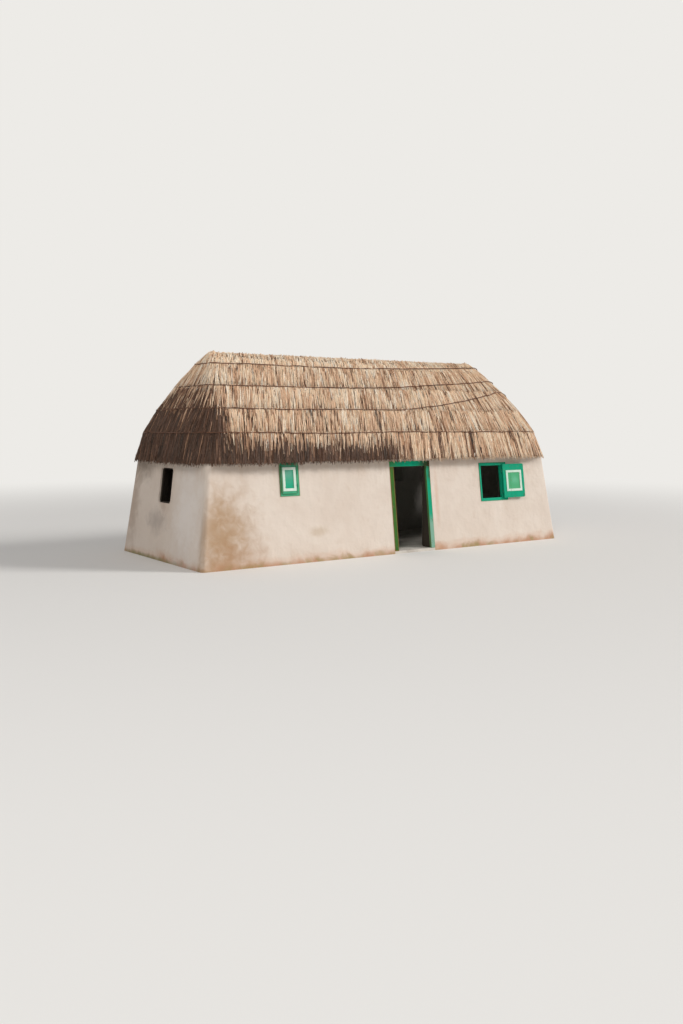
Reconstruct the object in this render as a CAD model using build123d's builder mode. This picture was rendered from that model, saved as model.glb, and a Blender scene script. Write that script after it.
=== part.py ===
# A small farm house of the dry Caribbean countryside: battered earth-and-rubble walls under whitewash,
# and a steep hipped roof of maize and sorghum stalks laid in courses over poles.
# Millimetres, +Z up. The origin is the middle of the footprint at ground level. The front looks along -Y,
# +X runs to the right along the front.
import os
from math import cos, radians, sin, tan

from build123d import *

os.makedirs("parts", exist_ok=True)

# Walls
house_length = 9800
house_width = 4000
wall_over_door = 170
wall_batter = 6.6
wall_top_thickness = 300
corner_radius = 90
floor_thickness = 50

# Timber on the wall heads
plate_width = 100
plate_height = 90
ridge_beam_width = 80
ridge_beam_height = 170
tie_diameter = 110
tie_flat = 12

# Roof slopes
front_pitch = 50
hip_pitch = 64
rafter_diameter = 80
rafter_seat = 18
rafter_spacing = 900
lath_diameter = 40
lath_rise = 290
pole_side_count = 8

# Thatch: the courses draw in from the eave to the ridge, each with four flat sides and rounded hips. The bulge
# is the power of the height by which they draw in: 1 would be straight slopes from the eave to the ridge.
eave_drop = 110
eave_overhang_front = 222
eave_overhang_end = 160
eave_hip_radius = 660
eave_course_height = 610
middle_course_count = 3
ridge_cap_height = 225
ridge_cover = 100
ridge_end_cover = 160
ridge_half_width = 130
ridge_hip_radius = 80
ridge_bevel = 70
ridge_bevel_drop = 45
thatch_bulge = 1.5
course_lip = 16
binding_rod_diameter = 24
binding_rod_gap = 0.3
binding_rod_side_count = 6
corner_chord_count = 3
hip_facet_count = 2 * (corner_chord_count + 1)

# Doorway
door_left = -200
door_width = 1150
door_height = 2030
door_jamb_face = 110
door_head_face = 120
door_frame_depth = 50
door_frame_proud = 6
leaf_setback = 90
sill_height = 60
reveal_lap = 20
reveal_splay = 20
lintel_height = 110
lintel_depth = 180
lintel_seat = 200

# Door leaf, drawn open at a right angle to the wall
leaf_thickness = 30
leaf_lap = 25
leaf_gap = 6
leaf_foot_gap = 10
ledge_width = 130
ledge_thickness = 25
ledge_inset = 30
ledge_heights = (230, 940, 1650)
strap_length = 620
strap_width = 45
strap_thickness = 6
strap_rise = 110
pin_diameter = 16
pin_clearance = 0.3
eye_wall = 7
pin_side_gap = 12
hook_height = 30

# Windows: the stile that carries a shutter's hinges is wider than the one on its free side. Their middles are
# placed from the ends of the house and down from the wall heads.
window_free_face = 50
window_head_face = 70
window_frame_depth = 45
window_frame_proud = 12
window_splay = 18
shutter_thickness = 28
shutter_lap = 20
shutter_corner = 40
moulding_width = 55
moulding_thickness = 12
shutter_hinge_radius = 8
shutter_hinge_length = 80
shutter_hinge_inset = 160
left_window_from_end = 2085
left_window_drop = 475
left_window_width = 470
left_window_height = 700
left_hinge_face = 95
left_moulding_side = 25
left_moulding_head = 55
right_window_from_end = 1990
right_window_drop = 715
right_window_width = 875
right_window_height = 915
right_hinge_face = 195
right_moulding_side = 90
right_moulding_head = 155
right_shutter_turn = 178
back_window_from_end = 2500

# Openings in the end walls: the right one is nearer the back
loophole_width = 600
loophole_height = 740
loophole_drop = 630
left_loophole_y = 60
right_loophole_y = 760
loophole_corner = 70
loophole_lip = 55
loophole_splay = 38

contact_gap = 0.3

# Sizes worked out from the ones above
slope = tan(radians(wall_batter))
half_length = house_length / 2
half_width = house_width / 2
wall_height = door_height + wall_over_door
top_draw_in = wall_height * slope
room_half_length = half_length - top_draw_in - wall_top_thickness
room_half_width = half_width - top_draw_in - wall_top_thickness
wall_foot_thickness = wall_top_thickness + top_draw_in
left_window_z = wall_height - left_window_drop
right_window_z = wall_height - right_window_drop
loophole_z = wall_height - loophole_drop
plate_edge_x = room_half_length + plate_width
plate_edge_y = room_half_width + plate_width
plate_top = wall_height + plate_height
rafter_rise = rafter_diameter / 2 - rafter_seat
rafter_top = rafter_rise + rafter_diameter / 2
lath_cover = rafter_top + contact_gap + lath_diameter / 2
thatch_cover = lath_cover + lath_diameter / 2 + contact_gap


def outer_half_width(z):
    """Half the house's width over its battered faces at a height."""
    return half_width - z * slope


def outer_half_length(z):
    """Half the house's length over its battered faces at a height."""
    return half_length - z * slope


def under_slope(z, edge, pitch, cover):
    """Half the width of the space under a roof slope at a height: cover is the slope's distance from the
    plate's outer top edge, square to the slope."""
    return edge + (cover - (z - plate_top) * cos(radians(pitch))) / sin(radians(pitch))


def slope_height(half, edge, pitch, cover):
    """The height at which a roof slope stands a given distance from the house's middle."""
    return plate_top + (cover - (half - edge) * sin(radians(pitch))) / cos(radians(pitch))


apex = slope_height(0, plate_edge_y, front_pitch, thatch_cover)


def save(part, name):
    """Writes a finished piece under its name."""
    part.label = name
    export_step(part, f"parts/{name}.step")


# The battered block of the walls, drawn up to the roof's apex, with its four corners rounded
with BuildPart() as wall_block:
    with BuildSketch(Plane.YZ):
        Polygon(
            (-half_width, 0),
            (half_width, 0),
            (outer_half_width(apex), apex),
            (-outer_half_width(apex), apex),
            align=None,
        )
    extrude(amount=half_length, both=True)
    with BuildSketch(Plane.XZ):
        Polygon(
            (-half_length, 0),
            (half_length, 0),
            (outer_half_length(apex), apex),
            (-outer_half_length(apex), apex),
            align=None,
        )
    extrude(amount=half_width, both=True, mode=Mode.INTERSECT)
    corners = wall_block.edges().filter_by(lambda edge: abs(edge.tangent_at(0).Z) > 0.5)
    fillet(corners, corner_radius)


def space_under(front_cover, end_cover):
    """The space under two front slopes and two end slopes, carried down to the ground."""
    peak = slope_height(0, plate_edge_y, front_pitch, front_cover)
    front_foot = under_slope(0, plate_edge_y, front_pitch, front_cover)
    end_foot = under_slope(0, plate_edge_x, hip_pitch, end_cover)
    end_head = under_slope(peak, plate_edge_x, hip_pitch, end_cover)
    with BuildPart() as space:
        with BuildSketch(Plane.YZ):
            Polygon((-front_foot, 0), (front_foot, 0), (0, peak), align=None)
        extrude(amount=house_length, both=True)
        with BuildSketch(Plane.XZ):
            Polygon((-end_foot, 0), (end_foot, 0), (end_head, peak), (-end_head, peak), align=None)
        extrude(amount=house_length, both=True, mode=Mode.INTERSECT)
    return space.part


with BuildPart() as under_thatch:
    add(wall_block.part)
    add(space_under(thatch_cover, thatch_cover), mode=Mode.INTERSECT)

# Doorway: a shallow seat for the frame in the sloping face, the way through, and behind it a wider pocket
# where the leaf shuts against the wall and whose sides splay into the room
door_right = door_left + door_width
door_middle = door_left + door_width / 2
opening_left = door_left + door_jamb_face
opening_right = door_right - door_jamb_face
head_bottom = door_height - door_head_face
leaf_stop = -outer_half_width(door_height) + leaf_setback
leaf_top = head_bottom + leaf_lap
lintel_bottom = leaf_top + leaf_foot_gap
reveal_depth = -leaf_stop - room_half_width
reveal_spread = reveal_depth * tan(radians(reveal_splay))


def sloping_slab(x_low, x_high, z_low, z_high, proud):
    """A slab let into the front wall's sloping face by the door frame's depth, and proud of it by a length."""
    with BuildPart() as slab:
        with BuildSketch(Plane.YZ.offset(x_low)):
            Polygon(
                (-outer_half_width(z_low) + door_frame_depth, z_low),
                (-outer_half_width(z_high) + door_frame_depth, z_high),
                (-outer_half_width(z_high) - proud, z_high),
                (-outer_half_width(z_low) - proud, z_low),
                align=None,
            )
        extrude(amount=x_high - x_low)
    return slab.part


with BuildPart() as doorway:
    add(sloping_slab(door_left, door_right, 0, door_height, half_width))
    with BuildSketch(Plane.XZ.offset(-leaf_stop)):
        with Locations((door_middle, 0)):
            Rectangle(opening_right - opening_left, head_bottom, align=(Align.CENTER, Align.MIN))
    extrude(amount=half_width)
    with BuildSketch(Plane.XY):
        Polygon(
            (door_left + reveal_lap, leaf_stop),
            (door_right - reveal_lap, leaf_stop),
            (door_right - reveal_lap + reveal_spread, -room_half_width),
            (door_left + reveal_lap - reveal_spread, -room_half_width),
            align=None,
        )
    extrude(amount=lintel_bottom)

with BuildPart() as door_lintel:
    with Locations((door_middle, -room_half_width, lintel_bottom)):
        Box(
            door_width + 2 * lintel_seat,
            lintel_depth,
            lintel_height,
            align=(Align.CENTER, Align.MAX, Align.MIN),
        )


def face_plane(side, x, z):
    """The plane of the front (-1) or back (+1) wall's battered face, centred on a point, looking outwards."""
    return Plane(
        origin=(x, side * outer_half_width(z), z),
        x_dir=(-side, 0, 0),
        z_dir=(0, side * cos(radians(wall_batter)), sin(radians(wall_batter))),
    )


def end_plane(side, y, z):
    """The plane of an end wall's battered face, centred on a point, looking outwards."""
    return Plane(
        origin=(side * outer_half_length(z), y, z),
        x_dir=(0, side, 0),
        z_dir=(side * cos(radians(wall_batter)), 0, sin(radians(wall_batter))),
    )


def splayed_reveal(plane, depth, width, height, splay):
    """The hole from a depth in a wall into the room, with upright sides that splay apart."""
    half_inner = width / 2 + (wall_foot_thickness - depth) * tan(radians(splay))
    with BuildPart() as reveal:
        with BuildSketch(Plane(origin=plane.origin, x_dir=plane.x_dir, z_dir=plane.y_dir)):
            Polygon(
                (-width / 2, depth),
                (width / 2, depth),
                (half_inner, wall_foot_thickness),
                (-half_inner, wall_foot_thickness),
                align=None,
            )
        extrude(amount=height / 2, both=True)
    return reveal.part


def window_cutter(plane, width, height):
    """The hole for a window: a seat for its frame, then reveals that splay into the room."""
    inner_width = width - 2 * reveal_lap
    inner_height = height - 2 * reveal_lap
    with BuildPart() as cutter:
        with BuildSketch(plane.offset(-window_frame_depth)):
            Rectangle(width, height)
        extrude(amount=2 * window_frame_depth)
        add(splayed_reveal(plane, window_frame_depth, inner_width, inner_height, window_splay))
    return cutter.part


def loophole_cutter(plane):
    """The hole of an end wall's opening: a short rounded mouth, then reveals that splay into the room."""
    inner_width = loophole_width - 2 * reveal_lap
    inner_height = loophole_height - 2 * reveal_lap
    with BuildPart() as cutter:
        with BuildSketch(plane.offset(-loophole_lip)):
            RectangleRounded(loophole_width, loophole_height, loophole_corner)
        extrude(amount=2 * loophole_lip)
        add(splayed_reveal(plane, loophole_lip, inner_width, inner_height, loophole_splay))
    return cutter.part


left_window = face_plane(-1, left_window_from_end - half_length, left_window_z)
right_window = face_plane(-1, half_length - right_window_from_end, right_window_z)
back_window_x = half_length - back_window_from_end
back_windows = [face_plane(1, x, left_window_z) for x in (-back_window_x, back_window_x)]
loopholes = [end_plane(-1, left_loophole_y, loophole_z), end_plane(1, right_loophole_y, loophole_z)]

# All the masonry in one block, then parted into walls
with BuildPart() as masonry:
    add(under_thatch.part)
    Box(
        2 * room_half_length,
        2 * room_half_width,
        2 * apex,
        align=(Align.CENTER, Align.CENTER, Align.CENTER),
        mode=Mode.SUBTRACT,
    )
    with Locations((0, 0, wall_height)):
        Box(
            2 * plate_edge_x,
            2 * plate_edge_y,
            apex,
            align=(Align.CENTER, Align.CENTER, Align.MIN),
            mode=Mode.SUBTRACT,
        )
    add(doorway.part, mode=Mode.SUBTRACT)
    add(door_lintel.part, mode=Mode.SUBTRACT)
    add(window_cutter(left_window, left_window_width, left_window_height), mode=Mode.SUBTRACT)
    add(window_cutter(right_window, right_window_width, right_window_height), mode=Mode.SUBTRACT)
    for plane in back_windows:
        add(window_cutter(plane, left_window_width, left_window_height), mode=Mode.SUBTRACT)
    for plane in loopholes:
        add(loophole_cutter(plane), mode=Mode.SUBTRACT)


def wall_piece(x_low, x_high, y_low, y_high):
    """The masonry between two upright planes across the house and two along it."""
    with BuildPart() as piece:
        add(masonry.part)
        with Locations(((x_low + x_high) / 2, (y_low + y_high) / 2, 0)):
            Box(
                x_high - x_low,
                y_high - y_low,
                apex,
                align=(Align.CENTER, Align.CENTER, Align.MIN),
                mode=Mode.INTERSECT,
            )
    return piece.part


save(wall_piece(-room_half_length, door_left, -half_width, 0), "front_wall_left")
save(wall_piece(door_right, room_half_length, -half_width, 0), "front_wall_right")
save(wall_piece(door_left, door_right, -half_width, 0), "front_wall_over_door")
save(wall_piece(-room_half_length, room_half_length, 0, half_width), "back_wall")
save(wall_piece(-half_length, -room_half_length, -half_width, half_width), "left_end_wall")
save(wall_piece(room_half_length, half_length, -half_width, half_width), "right_end_wall")
save(door_lintel.part, "door_lintel")

with BuildPart() as earth_floor:
    Box(
        2 * room_half_length,
        2 * room_half_width,
        floor_thickness,
        align=(Align.CENTER, Align.CENTER, Align.MIN),
    )
save(earth_floor.part, "earth_floor")

with BuildPart() as door_sill:
    add(doorway.part)
    add(wall_block.part, mode=Mode.INTERSECT)
    Box(house_length, house_width, 2 * sill_height, mode=Mode.INTERSECT)
save(door_sill.part, "door_sill")

frame_boards = {
    "door_left_jamb": (door_left, opening_left, sill_height, head_bottom),
    "door_right_jamb": (opening_right, door_right, sill_height, head_bottom),
    "door_head": (door_left, door_right, head_bottom, door_height),
}
for board_name, board_reach in frame_boards.items():
    save(sloping_slab(*board_reach, door_frame_proud), board_name)

# The door leaf hangs on hooks in the wall behind the left jamb. It is drawn shut in its own plane, whose X
# runs from the hinge pin along the leaf and whose Y runs into the room, and that plane is turned to stand open.
leaf_plane_height = sill_height + leaf_foot_gap
pin_x = opening_left - leaf_lap - pin_side_gap - pin_diameter / 2 - eye_wall
pin_y = leaf_stop + leaf_gap + leaf_thickness + strap_thickness / 2
open_leaf = Plane(origin=(pin_x, pin_y, leaf_plane_height), x_dir=(0, 1, 0), z_dir=(0, 0, 1))
leaf_start = opening_left - leaf_lap - pin_x
leaf_width = opening_right - opening_left + 2 * leaf_lap
leaf_height = leaf_top - leaf_plane_height
leaf_inner_face = -strap_thickness / 2

with BuildPart() as door_leaf:
    with BuildSketch(open_leaf):
        with Locations((leaf_start, leaf_inner_face)):
            Rectangle(leaf_width, leaf_thickness, align=(Align.MIN, Align.MAX))
    extrude(amount=leaf_height)
    for ledge_height in ledge_heights:
        with BuildSketch(open_leaf.offset(ledge_height - ledge_width / 2)):
            with Locations((leaf_start + ledge_inset, leaf_inner_face)):
                Rectangle(leaf_width - 2 * ledge_inset, ledge_thickness, align=(Align.MIN, Align.MIN))
        extrude(amount=ledge_width)
save(door_leaf.part, "door_leaf")

strap_heights = [ledge_heights[0] + strap_rise, ledge_heights[-1] - strap_rise]
eye_radius = pin_diameter / 2 + pin_clearance + eye_wall

with BuildPart() as door_strap_hinges:
    for strap_height in strap_heights:
        with BuildSketch(open_leaf.offset(strap_height - strap_width / 2)):
            Rectangle(strap_length, strap_thickness, align=(Align.MIN, Align.CENTER))
            Circle(eye_radius)
            Circle(pin_diameter / 2 + pin_clearance, mode=Mode.SUBTRACT)
        extrude(amount=strap_width)
save(door_strap_hinges.part, "door_strap_hinges")

with BuildPart() as door_hinge_hooks:
    for strap_height in strap_heights:
        arm_top = strap_height - strap_width / 2 - pin_clearance
        with BuildSketch(Plane.XY.offset(leaf_plane_height + arm_top - hook_height)):
            with Locations((pin_x, pin_y)):
                Circle(eye_radius)
                Rectangle(2 * eye_radius, pin_y - leaf_stop, align=(Align.CENTER, Align.MAX))
        extrude(amount=hook_height)
        with BuildSketch(Plane.XY.offset(leaf_plane_height + arm_top)):
            with Locations((pin_x, pin_y)):
                Circle(pin_diameter / 2)
        extrude(amount=strap_width + hook_height / 2)
save(door_hinge_hooks.part, "door_hinge_hooks")


# Windows
left_sizes = (left_window_width, left_window_height, left_hinge_face)
right_sizes = (right_window_width, right_window_height, right_hinge_face)
left_margins = (left_moulding_side, left_moulding_head)
right_margins = (right_moulding_side, right_moulding_head)


def opening_plane(plane, hinge_face):
    """The plane of a window's frame, centred on its opening, which lies off the middle."""
    shift = Vector((window_free_face - hinge_face) / 2, 0, 0)
    return Plane(origin=plane.from_local_coords(shift), x_dir=plane.x_dir, z_dir=plane.z_dir)


def opening_size(width, height, hinge_face):
    """The width and height of the opening in a window's frame."""
    return width - window_free_face - hinge_face, height - 2 * window_head_face


def window_frame(plane, width, height, hinge_face):
    """A window's frame, proud of the wall's face and following its slope."""
    with BuildPart() as frame:
        with BuildSketch(plane.offset(-window_frame_depth)):
            Rectangle(width, height)
        extrude(amount=window_frame_depth + window_frame_proud)
        with BuildSketch(opening_plane(plane, hinge_face).offset(-window_frame_depth)):
            Rectangle(*opening_size(width, height, hinge_face))
        extrude(amount=window_frame_depth + window_frame_proud, mode=Mode.SUBTRACT)
    return frame.part


def shutter_size(width, height, hinge_face):
    """The width and height of the shutter that laps over a window's opening."""
    opening_width, opening_height = opening_size(width, height, hinge_face)
    return opening_width + 2 * shutter_lap, opening_height + 2 * shutter_lap


def shutter_board(face, width, height, hinge_face):
    """A shutter's board on a window frame's face, with rounded corners on its free side."""
    with BuildPart() as board:
        with BuildSketch(opening_plane(face, hinge_face)) as outline:
            Rectangle(*shutter_size(width, height, hinge_face))
            fillet(outline.vertices().group_by(Axis.X)[0], shutter_corner)
        extrude(amount=shutter_thickness)
    return board.part


def shutter_mouldings(face, width, height, hinge_face, side_margin, head_margin):
    """The raised white rectangles on both faces of a shutter."""
    board_width, board_height = shutter_size(width, height, hinge_face)
    outer = (board_width - 2 * side_margin, board_height - 2 * head_margin)
    inner = (outer[0] - 2 * moulding_width, outer[1] - 2 * moulding_width)
    plane = opening_plane(face, hinge_face)
    with BuildPart() as mouldings:
        for level, direction in ((shutter_thickness, 1), (0, -1)):
            with BuildSketch(plane.offset(level)):
                Rectangle(*outer)
                Rectangle(*inner, mode=Mode.SUBTRACT)
            extrude(amount=direction * moulding_thickness)
    return mouldings.part


def hinge_place(width, height, hinge_face):
    """How far a shutter's hinge pins stand from the middle of its opening, sideways and up and down."""
    board_width, board_height = shutter_size(width, height, hinge_face)
    return board_width / 2 + shutter_hinge_radius, board_height / 2 - shutter_hinge_inset


def shutter_hinge_pair(face, width, height, hinge_face):
    """Two barrels that stand on a window frame's wide stile, at the edge of its shutter."""
    plane = opening_plane(face, hinge_face)
    side, reach = hinge_place(width, height, hinge_face)
    with BuildPart() as pair:
        for place in (-reach, reach):
            foot = plane.from_local_coords(Vector(side, place, 0))
            with BuildSketch(Plane(origin=foot, x_dir=plane.x_dir, z_dir=-plane.y_dir)):
                Rectangle(2 * shutter_hinge_radius, shutter_thickness, align=(Align.CENTER, Align.MIN))
                with Locations((0, shutter_thickness)):
                    Circle(shutter_hinge_radius)
            extrude(amount=shutter_hinge_length / 2, both=True)
    return pair.part


left_face = left_window.offset(window_frame_proud)
right_face = right_window.offset(window_frame_proud)
back_faces = [plane.offset(window_frame_proud) for plane in back_windows]

save(window_frame(left_window, *left_sizes), "left_window_frame")
save(shutter_board(left_face, *left_sizes), "left_shutter")
save(shutter_mouldings(left_face, *left_sizes, *left_margins), "left_shutter_moulding")

# The right shutter has turned about its hinge pins until it lies back against the wall
right_opening = opening_plane(right_face, right_hinge_face)
right_pin_place = Vector(hinge_place(*right_sizes)[0], 0, shutter_thickness)
right_pins = Axis(right_opening.from_local_coords(right_pin_place), right_face.y_dir)
right_board = shutter_board(right_face, *right_sizes)
right_mouldings = shutter_mouldings(right_face, *right_sizes, *right_margins)
save(window_frame(right_window, *right_sizes), "right_window_frame")
save(right_board.rotate(right_pins, right_shutter_turn), "right_shutter")
save(right_mouldings.rotate(right_pins, right_shutter_turn), "right_shutter_moulding")

with BuildPart() as back_window_frames:
    for plane in back_windows:
        add(window_frame(plane, *left_sizes))
save(back_window_frames.part, "back_window_frames")

with BuildPart() as back_shutters:
    for plane in back_faces:
        add(shutter_board(plane, *left_sizes))
save(back_shutters.part, "back_shutters")

with BuildPart() as back_shutter_mouldings:
    for plane in back_faces:
        add(shutter_mouldings(plane, *left_sizes, *left_margins))
save(back_shutter_mouldings.part, "back_shutter_mouldings")

with BuildPart() as shutter_hinges:
    add(shutter_hinge_pair(left_face, *left_sizes))
    add(shutter_hinge_pair(right_face, *right_sizes))
    for plane in back_faces:
        add(shutter_hinge_pair(plane, *left_sizes))
save(shutter_hinges.part, "shutter_hinges")


# Timber of the roof
def plate(x_low, x_high, y_low, y_high):
    """A wall plate on the wall heads, between two places along the house and two across it."""
    with BuildPart() as beam:
        with Locations(((x_low + x_high) / 2, (y_low + y_high) / 2, wall_height)):
            Box(
                x_high - x_low,
                y_high - y_low,
                plate_height,
                align=(Align.CENTER, Align.CENTER, Align.MIN),
            )
    return beam.part


front_plate = plate(-plate_edge_x, plate_edge_x, -plate_edge_y, -room_half_width)
back_plate = plate(-plate_edge_x, plate_edge_x, room_half_width, plate_edge_y)
left_plate = plate(-plate_edge_x, -room_half_length, -room_half_width, room_half_width)
right_plate = plate(room_half_length, plate_edge_x, -room_half_width, room_half_width)
save(front_plate, "front_wall_plate")
save(back_plate, "back_wall_plate")
save(left_plate, "left_wall_plate")
save(right_plate, "right_wall_plate")

# Where the middle lines of the ridge and the hips meet
ridge_line_height = slope_height(0, plate_edge_y, front_pitch, rafter_rise)
ridge_line_end = under_slope(ridge_line_height, plate_edge_x, hip_pitch, rafter_rise)
ridge_beam_top = slope_height(ridge_beam_width / 2, plate_edge_y, front_pitch, rafter_top)
ridge_beam_half_length = under_slope(ridge_beam_top, plate_edge_x, hip_pitch, rafter_rise)

with BuildPart() as ridge_beam:
    with Locations((0, 0, ridge_beam_top)):
        Box(
            2 * ridge_beam_half_length,
            ridge_beam_width,
            ridge_beam_height,
            align=(Align.CENTER, Align.CENTER, Align.MAX),
        )
save(ridge_beam.part, "ridge_beam")


def pole(start, end, diameter, facing):
    """A pole hewn to eight flats between two points, with one flat towards a direction."""
    with BuildPart() as stick:
        with BuildSketch(Plane(origin=start, x_dir=facing, z_dir=end - start)):
            RegularPolygon(diameter / 2, pole_side_count, major_radius=False, rotation=180 / pole_side_count)
        extrude(amount=(end - start).length)
    return stick.part


def front_line_point(x, z):
    """The point on the middle line of a front rafter at a height."""
    return Vector(x, -under_slope(z, plate_edge_y, front_pitch, rafter_rise), z)


def end_line_point(y, z):
    """The point on the middle line of a right end rafter at a height."""
    return Vector(under_slope(z, plate_edge_x, hip_pitch, rafter_rise), y, z)


def hip_line_point(z):
    """The point on the middle line of the front right hip at a height."""
    return Vector(end_line_point(0, z).X, front_line_point(0, z).Y, z)


# The directions that the roof's slopes face
upwards = Vector(0, 0, 1)
front_facing = Vector(0, -sin(radians(front_pitch)), cos(radians(front_pitch)))
right_facing = Vector(sin(radians(hip_pitch)), 0, cos(radians(hip_pitch)))

# What the rafters keep inside: the plates' outer faces and the undersides of the laths
with BuildPart() as rafter_room:
    Box(2 * (plate_edge_x - contact_gap), 2 * (plate_edge_y - contact_gap), 2 * apex)
    add(
        space_under(rafter_top + contact_gap / 2, rafter_top + contact_gap / 2),
        mode=Mode.INTERSECT,
    )

# What the rafters seat on or butt against
with BuildPart() as rafter_bearings:
    for beam in (front_plate, back_plate, left_plate, right_plate, ridge_beam.part):
        add(beam)

foot_height = wall_height
hip_foot = hip_line_point(foot_height)
hip_head = hip_line_point(ridge_line_height)

# The ground under the front slope, between its two hips, and under the right end slope
with BuildPart() as front_ground:
    with BuildSketch():
        Polygon(
            (-hip_foot.X, hip_foot.Y),
            (hip_foot.X, hip_foot.Y),
            (hip_head.X, -contact_gap),
            (-hip_head.X, -contact_gap),
            align=None,
        )
    extrude(amount=apex)

with BuildPart() as right_end_ground:
    with BuildSketch():
        Polygon((hip_foot.X, hip_foot.Y), (hip_foot.X, -hip_foot.Y), (hip_head.X, 0), align=None)
    extrude(amount=apex)

with BuildPart() as hip_seats:
    seat_diameter = rafter_diameter + 2 * contact_gap
    add(pole(hip_foot, hip_line_point(apex), seat_diameter, upwards))
    mirror(about=Plane.XZ)
    mirror(about=Plane.YZ)


def seated_rafter(stick, ground):
    """A rafter trimmed to the ground under its slope, its plate, the ridge and the hips."""
    with BuildPart() as rafter:
        add(stick)
        add(ground, mode=Mode.INTERSECT)
        add(rafter_room.part, mode=Mode.INTERSECT)
        add(rafter_bearings.part, mode=Mode.SUBTRACT)
        add(hip_seats.part, mode=Mode.SUBTRACT)
    return rafter.part.solids().sort_by(SortBy.VOLUME)[-1]


with BuildPart() as front_right_hip:
    add(pole(hip_foot, hip_head, rafter_diameter, upwards))
    add(rafter_room.part, mode=Mode.INTERSECT)
    with Locations((0, -contact_gap, 0)):
        Box(
            house_length,
            house_width,
            2 * apex,
            align=(Align.CENTER, Align.MAX, Align.CENTER),
            mode=Mode.INTERSECT,
        )
    add(rafter_bearings.part, mode=Mode.SUBTRACT)

with BuildPart() as hip_rafters:
    add(front_right_hip.part)
    mirror(about=Plane.YZ)
    mirror(about=Plane.XZ)
save(hip_rafters.part, "hip_rafters")

common_count = round(ridge_beam_half_length / rafter_spacing)
common_places = [rafter_spacing * (place + 0.5) for place in range(common_count)]
front_jack_place = (ridge_line_end + plate_edge_x) / 2
end_jack_place = plate_edge_y / 2

with BuildPart() as front_rafters:
    for x in (*common_places, front_jack_place):
        foot = front_line_point(x, foot_height)
        stick = pole(foot, front_line_point(x, apex), rafter_diameter, front_facing)
        add(seated_rafter(stick, front_ground.part))
    mirror(about=Plane.YZ)
save(front_rafters.part, "front_rafters")

with BuildPart() as back_rafters:
    add(front_rafters.part.mirror(Plane.XZ))
save(back_rafters.part, "back_rafters")

with BuildPart() as end_rafters:
    for y in (-end_jack_place, 0, end_jack_place):
        foot = end_line_point(y, foot_height)
        stick = pole(foot, end_line_point(y, apex), rafter_diameter, right_facing)
        add(seated_rafter(stick, right_end_ground.part))
    mirror(about=Plane.YZ)
save(end_rafters.part, "end_rafters")

tie_places = (-3 * rafter_spacing, 0, 3 * rafter_spacing)
tie_height = plate_top + tie_diameter / 2 - tie_flat
tie_half_length = plate_edge_y - contact_gap

with BuildPart() as tie_beams:
    for x in tie_places:
        front_end = Vector(x, -tie_half_length, tie_height)
        back_end = Vector(x, tie_half_length, tie_height)
        add(pole(front_end, back_end, tie_diameter, upwards))
    add(rafter_bearings.part, mode=Mode.SUBTRACT)
save(tie_beams.part, "tie_beams")


def lath_start(pitch):
    """How far above the plates a lath lies clear of the wall head outside them."""
    corner_reach = lath_diameter / 2 / cos(radians(180 / pole_side_count))
    outward = (corner_reach + contact_gap) * sin(radians(pitch))
    return (lath_cover + outward) / cos(radians(pitch))


lath_first = plate_top + max(lath_start(front_pitch), lath_start(hip_pitch))
lath_heights = [lath_first]
while lath_heights[-1] + lath_rise < ridge_beam_top - lath_diameter:
    lath_heights.append(lath_heights[-1] + lath_rise)

with BuildPart() as front_laths:
    for z in lath_heights:
        y = -under_slope(z, plate_edge_y, front_pitch, lath_cover)
        left_end = Vector(-half_length, y, z)
        right_end = Vector(half_length, y, z)
        add(pole(left_end, right_end, lath_diameter, front_facing))
    add(space_under(thatch_cover, rafter_top), mode=Mode.INTERSECT)
save(front_laths.part, "front_laths")

with BuildPart() as back_laths:
    add(front_laths.part.mirror(Plane.XZ))
save(back_laths.part, "back_laths")

with BuildPart() as end_laths:
    for z in lath_heights:
        x = under_slope(z, plate_edge_x, hip_pitch, lath_cover)
        front_end = Vector(x, -half_width, z)
        back_end = Vector(x, half_width, z)
        add(pole(front_end, back_end, lath_diameter, right_facing))
    add(space_under(thatch_cover, thatch_cover), mode=Mode.INTERSECT)
    mirror(about=Plane.YZ)
save(end_laths.part, "end_laths")

# Thatch
eave_height = wall_height - eave_drop
ridge_height = apex + ridge_cover
eave_half_length = outer_half_length(eave_height) + eave_overhang_end
eave_half_width = outer_half_width(eave_height) + eave_overhang_front
ridge_half_length = under_slope(apex, plate_edge_x, hip_pitch, thatch_cover) + ridge_end_cover
middle_foot = eave_height + eave_course_height
middle_top = ridge_height - ridge_cap_height
middle_rise = (middle_top - middle_foot) / middle_course_count

# The heights of the lines between the courses, from the eave to the ridge
course_lines = [middle_foot + middle_rise * line for line in range(middle_course_count + 1)]
course_lines = [eave_height, *course_lines, ridge_height]


def drawn_in(z):
    """The share of the way in from the eave to the ridge at which the thatch stands at a height."""
    return ((z - eave_height) / (ridge_height - eave_height)) ** thatch_bulge


def course_reach(z):
    """Half the length and half the width of the thatch at a height."""
    half_x = eave_half_length + (ridge_half_length - eave_half_length) * drawn_in(z)
    half_y = eave_half_width + (ridge_half_width - eave_half_width) * drawn_in(z)
    return half_x, half_y


def hip_radius(z):
    """The radius of the rounded hips at a height."""
    return eave_hip_radius + (ridge_hip_radius - eave_hip_radius) * drawn_in(z)


def course_edge(z, proud):
    """The corners of the thatch's edge at a height: flat sides, and hips rounded in short facets. Each chord
    of a binding rod touches a corner between two facets."""
    half_x, half_y = course_reach(z)
    radius = hip_radius(z)
    corners = []
    for quarter, (side_x, side_y) in enumerate(((1, 1), (-1, 1), (-1, -1), (1, -1))):
        for facet in range(hip_facet_count + 1):
            turn = radians(90 * (quarter + facet / hip_facet_count))
            x = side_x * (half_x - radius) + (radius + proud) * cos(turn)
            y = side_y * (half_y - radius) + (radius + proud) * sin(turn)
            corners.append((x, y))
    return corners


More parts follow.
